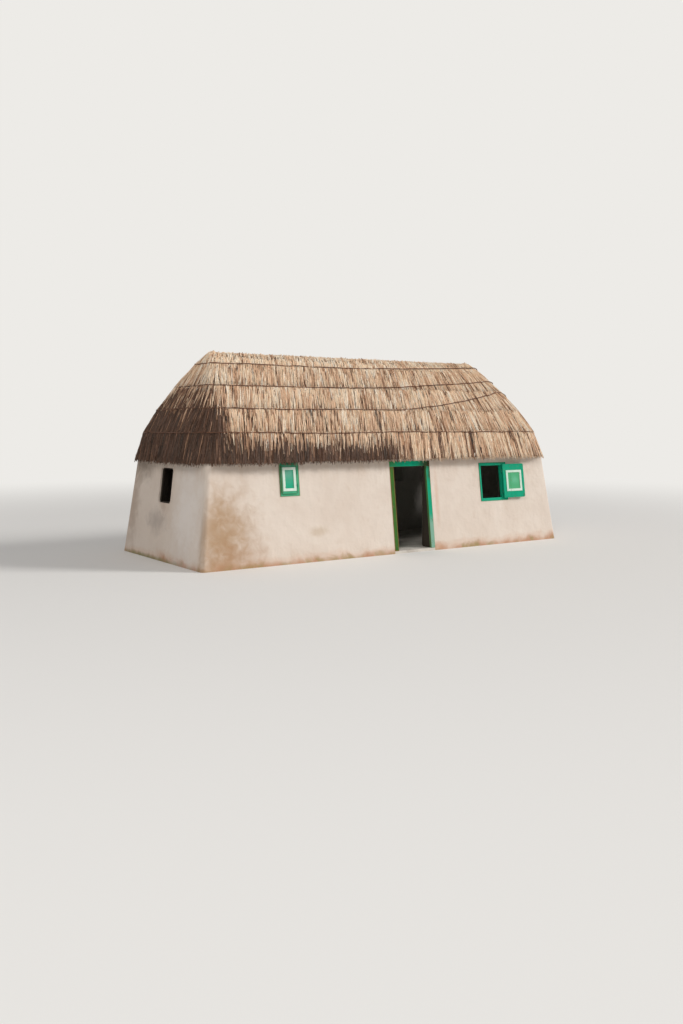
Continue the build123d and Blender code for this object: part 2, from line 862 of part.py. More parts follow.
def thatch_course(edges):
    """One course of thatch, solid inside, through its edges from the foot up: heights, and how far the thatch
    stands proud there."""
    with BuildPart() as course:
        for z, proud in edges:
            with BuildSketch(Plane.XY.offset(z)):
                Polygon(*course_edge(z, proud), align=None)
        loft(ruled=True)
    return course.part


course_names = (
    "thatch_eave_course",
    "thatch_second_course",
    "thatch_third_course",
    "thatch_fourth_course",
    "thatch_ridge_cap",
)
course_lips = [0] + [course_lip] * (middle_course_count + 1)
courses = list(zip(course_lines, course_lines[1:], course_lips))
for course_name, (foot, top, lip) in zip(course_names, courses):
    edges = [(foot, lip), (top, 0)]
    if top == ridge_height:
        edges = [(foot, lip), (top - ridge_bevel_drop, 0), (top, -ridge_bevel)]
    with BuildPart() as thatch:
        add(thatch_course(edges))
        add(under_thatch.part, mode=Mode.SUBTRACT)
    save(thatch.part, course_name)


def binding_rod(foot, top, lip):
    """A rod bound round the thatch at the top of a course, in the notch under the foot of the next. It is
    bent in short chords round the hips, each chord lying against the thatch."""
    reach = binding_rod_diameter / 2 + binding_rod_gap
    height = top - reach
    share = reach / (top - foot)
    top_x, top_y = course_reach(top)
    foot_x, foot_y = course_reach(foot)
    top_hip = (top_x - hip_radius(top), top_y - hip_radius(top), hip_radius(top))
    foot_hip = (foot_x - hip_radius(foot), foot_y - hip_radius(foot), hip_radius(foot) + lip)
    hip_x, hip_y, radius = [over + (under - over) * share for over, under in zip(top_hip, foot_hip)]
    lean_x, lean_y, lean_radius = [(under - over) / (top - foot) for over, under in zip(top_hip, foot_hip)]

    def distance(turn):
        """How far from the hip's middle line the rod passes on the side that looks in a direction."""
        lean = lean_x * cos(turn) + lean_y * sin(turn) + lean_radius
        return radius + reach * (1 + lean**2) ** 0.5

    turns = [radians(90 * side / (corner_chord_count + 1)) for side in range(corner_chord_count + 2)]
    corner = []
    for turn, following in zip(turns, turns[1:]):
        here, there = distance(turn), distance(following)
        spread = sin(following - turn)
        x = hip_x + (here * sin(following) - there * sin(turn)) / spread
        y = hip_y + (there * cos(turn) - here * cos(following)) / spread
        corner.append((x, y))
    right_side = [(x, -y) for x, y in reversed(corner)] + corner
    left_side = [(-x, -y) for x, y in right_side]
    with BuildPart() as rod:
        with BuildLine(Plane.XY.offset(height)) as route:
            Polyline(*right_side, *left_side, close=True)
        with BuildSketch(Plane(origin=route.line @ 0, x_dir=upwards, z_dir=route.line % 0)):
            RegularPolygon(binding_rod_diameter / 2, binding_rod_side_count)
        sweep(path=route.line, transition=Transition.RIGHT)
    return rod.part


with BuildPart() as binding_rods:
    for foot, top, lip in courses[:-1]:
        add(binding_rod(foot, top, lip))
save(binding_rods.part, "binding_rods")
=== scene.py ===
"""A small whitewashed farm house with a stalk-thatched roof: its looks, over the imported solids.

Metres, +Z up, the front looks along -Y. The walls, frames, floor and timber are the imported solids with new
finishes. The thatch's stalks, its rods and ties, the boards of the door and the nails are made here.
"""
import math

import bmesh
import bpy
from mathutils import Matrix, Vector, noise
from mathutils.bvhtree import BVHTree


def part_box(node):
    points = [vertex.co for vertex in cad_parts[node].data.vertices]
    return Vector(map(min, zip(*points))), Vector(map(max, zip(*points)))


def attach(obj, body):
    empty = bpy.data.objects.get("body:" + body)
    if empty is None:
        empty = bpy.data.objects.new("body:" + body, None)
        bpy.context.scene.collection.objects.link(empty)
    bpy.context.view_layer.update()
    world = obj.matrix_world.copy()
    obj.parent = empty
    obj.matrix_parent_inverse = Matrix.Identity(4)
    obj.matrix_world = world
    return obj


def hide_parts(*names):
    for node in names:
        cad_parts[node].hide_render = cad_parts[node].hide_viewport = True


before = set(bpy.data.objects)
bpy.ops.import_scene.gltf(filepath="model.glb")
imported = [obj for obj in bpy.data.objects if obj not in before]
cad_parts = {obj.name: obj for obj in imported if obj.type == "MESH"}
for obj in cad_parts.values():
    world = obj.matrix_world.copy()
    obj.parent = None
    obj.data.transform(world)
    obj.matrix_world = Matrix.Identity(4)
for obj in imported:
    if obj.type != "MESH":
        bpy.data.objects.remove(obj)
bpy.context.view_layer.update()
MM = 0.001

# Places that the finishes and pieces are measured from
wall_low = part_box("left_end_wall")[0]
wall_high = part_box("right_end_wall")[1]
room_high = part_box("earth_floor")[1]
door_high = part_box("door_right_jamb")[1]
head_low, head_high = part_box("door_head")
EAVE_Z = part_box("thatch_eave_course")[0].z
WALL_SLOPE = math.tan(math.radians(6.6))
WASH_DEPTH = 0.035


def linear(code):
    """An sRGB hex colour as the linear RGBA that the shaders take."""
    parts = [int(code[place : place + 2], 16) / 255 for place in (1, 3, 5)]
    return (*[part / 12.92 if part <= 0.04045 else ((part + 0.055) / 1.055) ** 2.4 for part in parts], 1)


def add(tree, kind, sockets=None, out=0, **options):
    """Adds a node, sets its options, sets or links its sockets by name or number, and gives one output."""
    made = tree.nodes.new(kind)
    for option, value in options.items():
        setattr(made, option, value)
    for socket, value in (sockets or {}).items():
        if isinstance(value, bpy.types.NodeSocket):
            tree.links.new(value, made.inputs[socket])
        else:
            made.inputs[socket].default_value = value
    return made.outputs if out is None else made.outputs[out]


def new_object(name, data):
    """An object in the scene."""
    made = bpy.data.objects.new(name, data)
    bpy.context.scene.collection.objects.link(made)
    return made


def new_material(name):
    """A material with its tree, its shader and its Object coordinates."""
    made = bpy.data.materials.new(name)
    made.use_nodes = True
    tree = made.node_tree
    return made, tree, tree.nodes["Principled BSDF"], add(tree, "ShaderNodeTexCoord", out="Object")


def cloud(tree, place, size_mm, low=0.0, high=1.0, detail=4.0, stretch=(1, 1, 1), warp=0.0):
    """Soft noise with features about a size across, longer where it is stretched. What lies between two of
    its levels is spread from 0 to 1."""
    per_metre = [1 / (size_mm * MM * longer) for longer in stretch]
    spread = add(tree, "ShaderNodeVectorMath", {0: place, 1: per_metre}, operation="MULTIPLY")
    sockets = {"Vector": spread, "Scale": 1.0, "Detail": detail, "Distortion": warp}
    return add(tree, "ShaderNodeMapRange", {0: add(tree, "ShaderNodeTexNoise", sockets), 1: low, 2: high})


def layered(tree, colour, layers):
    """Colours laid one over another: each has a mask from 0 to 1, its hex and the most that it covers."""
    for mask, code, most in layers:
        share = add(tree, "ShaderNodeMath", {0: mask, 1: most}, operation="MULTIPLY")
        colour = add(tree, "ShaderNodeMix", {0: share, 6: colour, 7: linear(code)}, 2, data_type="RGBA")
    return colour


def surfaced(tree, shader, colour, roughness, heights):
    """Gives a shader its colour, its roughness as a number or a socket, and its bump from several heights:
    each is a value and its depth in millimetres."""
    normal = None
    for value, depth in heights:
        sockets = {"Strength": 1.0, "Distance": depth * MM, "Height": value}
        if normal:
            sockets["Normal"] = normal
        normal = add(tree, "ShaderNodeBump", sockets)
    for socket, value in (("Base Color", colour), ("Roughness", roughness), ("Normal", normal)):
        if isinstance(value, bpy.types.NodeSocket):
            tree.links.new(value, shader.inputs[socket])
        else:
            shader.inputs[socket].default_value = value


def stain_and_painted_light(tree, place, middle, reach):
    """A blot round a place, with a soft and ragged edge. It lays stains, and also painted shadow and painted
    highlight.
    """
    away = add(tree, "ShaderNodeVectorMath", {0: place, 1: middle}, operation="SUBTRACT")
    away = add(tree, "ShaderNodeVectorMath", {0: away, 1: reach}, operation="DIVIDE")
    away = add(tree, "ShaderNodeVectorMath", {0: away}, "Value", operation="LENGTH")
    ragged = cloud(tree, place, 200, detail=5.0, warp=0.5)
    away = add(tree, "ShaderNodeMath", {0: away, 1: ragged}, operation="ADD")
    return add(tree, "ShaderNodeMapRange", {0: away, 1: 1.5, 2: 0.5}, interpolation_type="SMOOTHSTEP")


def beyond(tree, place, node):
    """How far, in metres, a place lies outside a node's box as seen from the front: less than 0 inside it."""
    low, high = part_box(node)
    away = add(tree, "ShaderNodeVectorMath", {0: place, 1: (low + high) / 2}, operation="SUBTRACT")
    away = add(tree, "ShaderNodeVectorMath", {0: away}, operation="ABSOLUTE")
    away = add(tree, "ShaderNodeVectorMath", {0: away, 1: (high - low) / 2}, operation="SUBTRACT")
    x, _, z = add(tree, "ShaderNodeSeparateXYZ", {0: away}, None)
    return add(tree, "ShaderNodeMath", {0: x, 1: z}, operation="MAXIMUM")


def rim(tree, place, node, width_mm):
    """The outer edge of a board's face, where dirt gathers and the paint wears."""
    ragged = cloud(tree, place, 60, -0.5, 1.5, 4.0)
    edge = add(tree, "ShaderNodeMath", {0: ragged, 1: width_mm * MM}, operation="MULTIPLY")
    edge = add(tree, "ShaderNodeMath", {0: beyond(tree, place, node), 1: edge}, operation="ADD")
    return add(tree, "ShaderNodeMapRange", {0: edge, 1: -0.004, 2: 0.002})


def within(tree, place, node):
    """All that lies inside a node's box, as seen from the front."""
    return add(tree, "ShaderNodeMapRange", {0: beyond(tree, place, node), 1: 0.0, 2: -0.006})


def below(tree, place, height):
    """All that lies under a height, with a soft edge."""
    z = add(tree, "ShaderNodeSeparateXYZ", {0: place}, 2)
    return add(tree, "ShaderNodeMapRange", {0: z, 1: height + 0.12, 2: height - 0.12})


def up_face(place):
    """A place plumb over the foot of an outer face, moved in to where the battered face is at its height."""
    x, y, z = place
    if abs(x) > wall_high.x - MM:
        x -= math.copysign(WALL_SLOPE * z, x)
    if abs(y) > wall_high.y - MM:
        y -= math.copysign(WALL_SLOPE * z, y)
    return x, y, z


# Marks on the limewash: a middle, a reach in x, y and z, a colour and the most that it covers
WALL_STAINS_AND_SHADOW = (
    # A tan stain right of the front left corner, darkened further as the painted shadow of a tree
    ((wall_low.x + 0.4, wall_low.y, 0.7), (1.2, 0.24, 1.8), "#AD8A66", 0.9),
    ((wall_low.x + 0.8, wall_low.y, 0.2), (1.0, 0.24, 0.5), "#A87C55", 0.45),
    ((-2.15, wall_low.y, 0.62), (0.38, 0.5, 0.16), "#B59A78", 0.4),
    ((door_high.x + 0.16, wall_low.y, 1.2), (0.09, 0.9, 1.1), "#CFA88C", 0.45),
    ((door_high.x + 0.1, wall_low.y, 0.1), (0.3, 0.5, 0.14), "#C08A66", 0.5),
    ((wall_low.x, -1.1, 1.0), (0.3, 1.0, 2.2), "#EDE5DE", 0.65),
    ((wall_low.x, 1.7, 1.0), (0.3, 0.5, 1.8), "#A8917F", 0.6),
    ((wall_low.x, 1.3, 1.9), (0.3, 0.8, 0.45), "#75614F", 0.6),
    ((wall_low.x, 0.05, 1.5), (0.3, 0.5, 0.75), "#A98C78", 0.55),
    ((wall_low.x, 0.35, 0.8), (0.3, 0.7, 0.4), "#8C7F79", 0.45),
    ((wall_low.x, 0.6, 0.0), (0.3, 2.6, 0.11), "#7C7D54", 0.75),
    ((wall_high.x, 0.2, 0.7), (0.5, 0.9, 0.4), "#BFA07E", 0.35),
    ((1.6, wall_high.y, 0.8), (1.1, 0.5, 0.35), "#B99A78", 0.35),
    ((-2.9, wall_high.y, 1.6), (0.8, 0.5, 0.4), "#C7AB8E", 0.3),
)


def limewashed_clay():
    """Limewash brushed on clay and rubble: chalky, patchy cream, thin where rain runs and splashes, so that
    the pink clay shows at the foot, with brown runs under the eave. The sides of the front openings are
    painted dark brown as shade, and the room has a thin grey wash."""
    made, tree, shader, place = new_material("limewashed_clay")
    x, y, z = add(tree, "ShaderNodeSeparateXYZ", {0: place}, None)
    brushed = cloud(tree, place, 42, 0.42, 0.72, 4.0, stretch=(5, 1, 1), warp=0.4)
    upright = cloud(tree, place, 48, 0.42, 0.72, 4.0, stretch=(1, 1, 7), warp=0.4)
    runs = cloud(tree, place, 120, 0.5, 0.7, 3.0, stretch=(1, 1, 9), warp=0.3)
    lumps = cloud(tree, place, 240, detail=2.0)
    grit = cloud(tree, place, 9, detail=2.0)
    under_eave = add(tree, "ShaderNodeMapRange", {0: z, 1: EAVE_Z - 0.5, 2: EAVE_Z})
    under_eave = add(tree, "ShaderNodeMath", {0: under_eave, 1: runs}, operation="MULTIPLY")
    uneven = cloud(tree, place, 420, 0.2, 0.8, 5.0, warp=0.6)
    low = add(tree, "ShaderNodeMath", {0: uneven, 1: -0.24, 2: z}, operation="MULTIPLY_ADD")
    splash = add(tree, "ShaderNodeMapRange", {0: low, 1: 0.1, 2: -0.14})
    foot = add(tree, "ShaderNodeMapRange", {0: low, 1: 0.0, 2: -0.12})
    moss = add(
        tree, "ShaderNodeMath", {0: foot, 1: cloud(tree, place, 300, 0.48, 0.6)}, operation="MULTIPLY"
    )
    layers = [
        (cloud(tree, place, 900, 0.35, 0.65, 3.0, warp=0.6), "#DBCBBC", 1.0),
        (brushed, "#D9C8B8", 0.16),
        (upright, "#D6C6B8", 0.1),
        (cloud(tree, place, 330, 0.62, 0.72, 6.0, warp=0.6), "#CDB8A4", 0.3),
        (under_eave, "#BC9C7A", 0.3),
        (splash, "#C79A79", 0.7),
        (foot, "#A8714A", 0.55),
        (moss, "#8A8A52", 0.55),
    ]
    for middle, reach, code, most in WALL_STAINS_AND_SHADOW:
        layers.append((stain_and_painted_light(tree, place, up_face(middle), reach), code, most))
    # Painted shade, in dark brown, starts a hand's breadth inside the battered faces, so also on the sides of
    # the openings
    depth = add(tree, "ShaderNodeMath", {0: z, 1: WALL_SLOPE, 2: WASH_DEPTH}, operation="MULTIPLY_ADD")
    painted_reveal_shade = 1.0
    for value, reach in ((x, wall_high.x), (y, wall_high.y)):
        away = add(tree, "ShaderNodeMath", {0: value}, operation="ABSOLUTE")
        sunk = add(tree, "ShaderNodeMath", {0: away, 1: depth}, operation="ADD")
        clear = add(tree, "ShaderNodeMapRange", {0: sunk, 1: reach + 0.006, 2: reach - 0.006})
        painted_reveal_shade = add(tree, "ShaderNodeMath", {0: clear, 1: painted_reveal_shade}, operation="MULTIPLY")
    # The wash of the room covers the inner faces, and the sides of the openings in the back wall
    across = add(tree, "ShaderNodeMath", {0: x}, operation="ABSOLUTE")
    across = add(tree, "ShaderNodeMapRange", {0: across, 1: room_high.x + 0.012, 2: room_high.x + 0.004})
    behind = add(tree, "ShaderNodeMapRange", {0: y, 1: -room_high.y - 0.012, 2: -room_high.y - 0.004})
    room = add(tree, "ShaderNodeMath", {0: across, 1: behind}, operation="MULTIPLY")
    room = add(tree, "ShaderNodeMath", {0: room, 1: painted_reveal_shade}, operation="MULTIPLY")
    # The openings' sides are painted dark brown as shade; the room's grey wash lies over its inner faces
    layers += [(painted_reveal_shade, "#3A3026", 1.0), (room, "#BDB6AC", 1.0)]
    heights = ((lumps, 22.0), (brushed, 0.7), (upright, 0.5), (grit, 1.0))
    surfaced(tree, shader, layered(tree, linear("#E2D4C6"), layers), 0.92, heights)
    return made


def tamped_earth():
    """Earth and lime beaten flat and swept: pale grey with darker damp patches and fine grit."""
    made, tree, shader, place = new_material("tamped_earth")
    patches = cloud(tree, place, 500, 0.35, 0.65, 4.0, warp=0.5)
    grit = cloud(tree, place, 12, 0.5, 0.7, 3.0)
    colour = layered(tree, linear("#D8D0C5"), ((patches, "#B9B0A4", 1.0), (grit, "#E2DBD1", 0.4)))
    surfaced(tree, shader, colour, 0.95, ((patches, 8.0), (grit, 1.5)))
    return made


def painted_board(name, coat, faded, dark, bare, marks=(), board_mm=None):
    """Oil paint brushed on a rough board: nearly dull, with brush lines up the board, faded where the sun
    takes it, and small chips down to the grey wood. The sheen is lower where it has faded."""
    made, tree, shader, place = new_material(name)
    strokes = cloud(tree, place, 9, 0.4, 0.7, stretch=(1, 1, 14))
    sun = cloud(tree, place, 260, 0.36, 0.66, warp=0.8)
    chips = cloud(tree, place, 30, 0.665, 0.685, 6.0, stretch=(1, 1, 3), warp=0.5)
    layers = [(sun, faded, 1.0), (strokes, dark, 0.35)]
    layers += [(mark(tree, place, *where), code, most) for mark, where, code, most in marks]
    layers.append((chips, bare, 1.0))
    heights = [(strokes, 0.8), (chips, -0.7)]
    if board_mm:
        across = add(tree, "ShaderNodeSeparateXYZ", {0: place}, 0)
        across = add(tree, "ShaderNodeMath", {0: across, 1: board_mm * MM}, operation="PINGPONG")
        joint = add(tree, "ShaderNodeMapRange", {0: across, 1: 0.003, 2: 0.001})
        layers.append((joint, "#1E2A20", 0.8))
        heights.append((joint, -3.0))
    roughness = add(tree, "ShaderNodeMapRange", {0: sun, 3: 0.5, 4: 0.7})
    shader.inputs["Specular IOR Level"].default_value = 0.1
    surfaced(tree, shader, layered(tree, linear(coat), layers), roughness, heights)
    return made


def weathered_pole(name, light, dark, along_size):
    """Debarked hardwood left to the air: grey-brown, dry, with dark checks along the grain."""
    made, tree, shader, place = new_material(name)
    grain = cloud(tree, place, 14, 0.35, 0.62, 5.0, stretch=along_size, warp=0.3)
    age = cloud(tree, place, 400, 0.4, 0.7, 3.0)
    colour = layered(tree, linear(dark), ((grain, light, 1.0), (age, dark, 0.5)))
    surfaced(tree, shader, colour, 0.85, ((grain, 3.0),))
    return made


def iron(name, coat, rusted):
    """Forged iron, rusted through its old coat, with a brown-orange bloom and a low sheen."""
    made, tree, shader, place = new_material(name)
    rust = cloud(tree, place, 25, *rusted, 6.0, warp=0.6)
    colour = layered(tree, linear(coat), ((rust, "#6E3F24", 1.0),))
    roughness = add(tree, "ShaderNodeMapRange", {0: rust, 3: 0.5, 4: 0.9})
    shader.inputs["Metallic"].default_value = 0.2
    surfaced(tree, shader, colour, roughness, ((rust, 0.8),))
    return made


def packed_thatch():
    """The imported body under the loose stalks, in shade: dark brown, streaked down the slope, with the cut
    butts of the stalks showing as dots underneath."""
    made, tree, shader, place = new_material("packed_thatch")
    stalks = cloud(tree, place, 22, 0.35, 0.65, stretch=(1, 1, 12))
    clumps = cloud(tree, place, 300, 0.4, 0.7, 3.0)
    colour = layered(tree, linear("#4E392B"), ((stalks, "#8C6A52", 1.0), (clumps, "#3A2A20", 0.4)))
    surfaced(tree, shader, colour, 0.95, ((stalks, 14.0),))
    return made


# The tints of the stalks, from rotted to clean straw
STALK_TINTS = (
    (0.0, "#2B2118"),
    (0.14, "#6C4A37"),
    (0.28, "#C29674"),
    (0.45, "#EAC5A3"),
    (0.68, "#F5DAB9"),
    (0.87, "#F9E7CD"),
    (1.0, "#FBF0DE"),
)


def dry_stalk():
    """Dry maize and sorghum stalks: pale straw to pinkish beige with brown and dark rotted ones between, dull
    with a faint waxy sheen, darker at the frayed tip. The tint of each stalk is its own."""
    made, tree, shader, place = new_material("dry_maize_stalk")
    tint = add(tree, "ShaderNodeAttribute", {}, "Fac", attribute_name="tint")
    along = add(tree, "ShaderNodeAttribute", {}, "Fac", attribute_name="along")
    colour = add(tree, "ShaderNodeValToRGB", {0: tint})
    marks = colour.node.color_ramp.elements
    for share, code in STALK_TINTS[1:-1]:
        marks.new(share).color = linear(code)
    marks[0].color, marks[-1].color = linear(STALK_TINTS[0][1]), linear(STALK_TINTS[-1][1])
    tip = add(tree, "ShaderNodeMapRange", {0: along, 1: 0.3, 2: 0.0})
    mottle = cloud(tree, place, 35, 0.45, 0.75)
    colour = layered(tree, colour, ((mottle, "#9A7558", 0.22), (tip, "#7A5B45", 0.25)))
    fibres = cloud(tree, place, 6, detail=3.0, stretch=(1, 1, 6))
    surfaced(tree, shader, colour, 0.7, ((fibres, 1.0),))
    return made


def dressed(finish, *names):
    """Gives nodes a finish."""
    for name in names:
        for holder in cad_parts[name].material_slots:
            holder.material = finish


# The head's teal is the right jamb's teal painted lighter: painted light against the shade under the eave
LIT_HEAD_TEAL = ("#08BC8E", "#18C598", "#06996F")
TEAL = ("#069D76", "#14A67F", "#057F5F")
DULL_TEAL = ("#43A67D", "#58AE84", "#2E8E68")
OLIVE = ("#356327", "#46732D", "#244A1E")
DOOR_GREEN = ("#2E7D5F", "#4B9478", "#256A50")
WHITE = ("#DCEBDD", "#CFE4D2", "#C2D8C8")
BARE_WOOD = "#6F5A44"
EDGE_OLIVE = "#66682F"

# The top of the left shutter's panel, with a faded spot, and the middle of the right one's, with a painted
# highlight
low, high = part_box("left_shutter_moulding")
left_panel = ((low.x + high.x) / 2 - 0.03, low.y, high.z - 0.12)
low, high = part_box("right_shutter_moulding")
right_panel_highlight = ((low.x + high.x) / 2 + 0.02, low.y, (low.z + high.z) / 2 + 0.03)

# Painted boards: their paint, and the marks that set each apart
PAINTED = {
    "door_left_jamb": (OLIVE, ((rim, ("door_left_jamb", 20), "#93683A", 0.85),)),
    "door_right_jamb": (
        TEAL,
        (
            # The jamb's foot is paler turquoise: painted sunlight below the eave's shade
            (below, (0.72,), "#86AE99", 0.9),
            (rim, ("door_right_jamb", 10), "#5F7A3C", 0.8),
            (stain_and_painted_light, ((door_high.x + 0.02, head_low.y, head_low.z), (0.15, 0.5, 0.6)), "#3A3A1C", 1.0),
        ),
    ),
    "door_head": (
        LIT_HEAD_TEAL,
        (
            (rim, ("door_head", 10), "#4E5A2E", 0.7),
            (stain_and_painted_light, ((head_low.x, head_low.y, head_high.z), (0.4, 0.5, 0.3)), "#4A8F45", 0.8),
            (stain_and_painted_light, ((head_high.x, head_low.y, head_low.z), (0.5, 0.5, 0.9)), "#3A3A1C", 1.0),
        ),
    ),
    "left_window_frame": (DULL_TEAL, ((rim, ("left_window_frame", 22), "#75703E", 0.8),)),
    "left_shutter": (
        DULL_TEAL,
        (
            (rim, ("left_shutter", 10), EDGE_OLIVE, 0.7),
            (within, ("left_shutter_moulding",), "#22A580", 0.9),
            (stain_and_painted_light, (left_panel, (0.2, 0.5, 0.28)), "#7DA596", 0.6),
        ),
    ),
    "right_window_frame": (TEAL, ((rim, ("right_window_frame", 9), "#3E6B3A", 0.8),)),
    "right_shutter": (
        TEAL,
        (
            (within, ("right_shutter_moulding",), "#55AD7A", 0.95),
            # A paler spot in the middle of the panel: a painted highlight
            (stain_and_painted_light, (right_panel_highlight, (0.16, 0.5, 0.14)), "#79C2A2", 0.5),
        ),
    ),
    "back_window_frames": (TEAL, ()),
    "back_shutters": (TEAL, ()),
}
for name, (paint, marks) in PAINTED.items():
    boards = 190 if "shutter" in name else None
    dressed(painted_board(f"oil_paint_{name}", *paint, BARE_WOOD, marks, boards), name)

limewash = limewashed_clay()
earth = tamped_earth()
white_paint = painted_board("white_oil_paint", *WHITE, "#8FA893")
door_paint = painted_board("door_oil_paint", *DOOR_GREEN, BARE_WOOD)
rusted_iron = iron("rusted_iron", "#2B2724", (0.45, 0.6))
painted_iron = iron("painted_hinge_iron", "#128566", (0.6, 0.7))
beam_wood = weathered_pole("sawn_beam", "#8A7258", "#4A3A2C", (20, 20, 20))
pole_wood = weathered_pole("debarked_pole", "#8F7B63", "#4B3C2E", (6, 6, 6))
rod_wood = weathered_pole("split_rod", "#80573F", "#4A2F22", (8, 8, 2))
twine = weathered_pole("sisal_twine", "#9A7B58", "#5E4630", (1, 1, 1))
thatch_core = packed_thatch()
stalk = dry_stalk()

WALLS = (
    "front_wall_left",
    "front_wall_right",
    "front_wall_over_door",
    "back_wall",
    "left_end_wall",
    "right_end_wall",
)
PLATES = ("front_wall_plate", "back_wall_plate", "left_wall_plate", "right_wall_plate")
RAFTERS = ("hip_rafters", "front_rafters", "back_rafters", "end_rafters")
LATHS = ("front_laths", "back_laths", "end_laths")
COURSES = (
    "thatch_eave_course",
    "thatch_second_course",
    "thatch_third_course",
    "thatch_fourth_course",
    "thatch_ridge_cap",
)
dressed(limewash, *WALLS)
dressed(earth, "earth_floor", "door_sill")
dressed(white_paint, "left_shutter_moulding", "right_shutter_moulding", "back_shutter_mouldings")
dressed(rusted_iron, "door_strap_hinges", "door_hinge_hooks")
dressed(painted_iron, "shutter_hinges")
dressed(beam_wood, "door_lintel", "ridge_beam", *PLATES)
dressed(pole_wood, "tie_beams", *RAFTERS, *LATHS)
dressed(thatch_core, *COURSES)
dressed(door_paint, "door_leaf")
dressed(rod_wood, "binding_rods")

# The thatch's loose stalks: a sheet is laid over each course and stalks are strewn on it
HIP_FAN = 0.55  # how far in from a course's top edges the hips' fans have their centres, at most
FLAT_STEP = 0.14  # between stations on the flat sides, in metres
FAN_STEPS = 14
RAY_REACH = 6  # from how far outside the rays are cast
GRAZE = 0.004  # how far inside or outside an edge a course is measured, so that rays meet it
CAP_SIDE = 0.1  # how far under the top of a course its stations are set out, where the top is rounded
EAVE_HANG = 0.02  # how far the stalks hang past the foot of a course
FOOT_HANG = 0.025
SHORTEST_HANG = 0.012
BUTT_REACH = 0.22  # how far in from the eave's edge the butts show, and how long they may be
BUTT_ROOM = 0.12
FOOT_CROWD = 0.4  # how much closer the stalks stand along a foot: the higher, the denser
COMBED = 0.55  # how far the stalks of the front lean over, where the wind has combed them
ROW_SHARES = (0.25, 0.5)  # how far up a course the sheet's rows between its foot and its top lie
# How high up from the eave the painted tree shadow reaches
SHADOW_RISE = 0.42
SHADOW_ENDS = 0.9  # where along the front the painted tree shadow on the eave fades out
SHADED_END = -3.9


def smooth(value, low, high):
    """0 below one limit and 1 above the other, even where the first is the higher one."""
    share = min(max((value - low) / (high - low), 0.0), 1.0)
    return share * share * (3 - 2 * share)


def painted_shade_at(point):
    """Painted shade on the thatch: a tree's shadow along the eave left of the door, and all the left end."""
    eave = smooth(point.z, EAVE_Z + SHADOW_RISE, EAVE_Z + 0.05)
    along = smooth(point.x, SHADOW_ENDS, -0.7)
    end = smooth(point.x, SHADED_END, SHADED_END - 0.5) * smooth(point.z, EAVE_Z + 2.2, EAVE_Z + 0.6)
    front = 1.0 if point.y < 0 else 0.55
    return max(eave * along * front, end)


def combed(way, point):
    """The way up the slope, leant over on the front by the wind that blows along it."""
    share = smooth(point.y, -0.05, -0.35) * smooth(point.x, 4.2, 0.4) * smooth(point.x, -4.7, -3.7)
    lean = COMBED * share * way.y
    # The hip on the left fans out the same way already
    sideways = max(way.x, lean) if way.x > 0 else way.x + lean
    return Vector((sideways, way.y, way.z)).normalized()


def solid_of(name):
    """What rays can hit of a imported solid."""
    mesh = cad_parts[name].data
    return BVHTree.FromPolygons(
        [vertex.co for vertex in mesh.vertices], [face.vertices for face in mesh.polygons]
    )


def first_hit(solid, target, ray):
    """Where a ray from outside meets a solid on its way to a target. It is nudged off the seams of the mesh."""
    for nudge in (0.0, 0.0007, -0.0011, 0.0023):
        start = target + ray * RAY_REACH + Vector((nudge, nudge, nudge))
        hit, _, _, _ = solid.ray_cast(start, -ray)
        if hit:
            return hit
    raise ValueError(f"no surface towards {target}")


def stations(solid, top_z):
    """Places round a course as (foot of the ray's line, outward direction, distance round), anticlockwise. The
    rays are square to the flat sides and fan out at the hips."""
    top_x = first_hit(solid, Vector((0, 0, top_z)), Vector((1, 0, 0))).x
    top_y = first_hit(solid, Vector((0, 0, top_z)), Vector((0, 1, 0))).y
    fan = min(HIP_FAN, 0.9 * top_y)
    half_x, half_y = top_x - fan, top_y - fan
    corners = [(half_x, -half_y), (half_x, half_y), (-half_x, half_y), (-half_x, -half_y)]
    made, travelled = [], 0.0
    for number, corner in enumerate(corners):
        start_turn = math.radians(90 * (number - 1))
        for step in range(FAN_STEPS):
            turn = start_turn + math.radians(90) * step / FAN_STEPS
            made.append((Vector(corner), Vector((math.cos(turn), math.sin(turn))), travelled))
            travelled += math.radians(90) / FAN_STEPS * (fan + 0.3)
        run = Vector(corners[(number + 1) % 4]) - Vector(corner)
        count = max(2, round(run.length / FLAT_STEP))
        outward = Vector((run.y, -run.x)).normalized()
        for step in range(count):
            made.append((Vector(corner) + run * step / count, outward, travelled))
            travelled += run.length / count
    return made


def surface_point(solid, station, z):
    """Where a station's line meets the outside of a course at a height."""
    foot, outward, _ = station
    return first_hit(solid, Vector((*foot, z)), Vector((*outward, 0)))


def wander(travelled, line):
    """How far a course's foot wanders up or down, in metres, at a distance round the roof."""
    place = Vector((travelled * 0.45, line * 7.3, 0))
    return 0.024 * noise.noise(place) + 0.012 * noise.noise(place * 4)


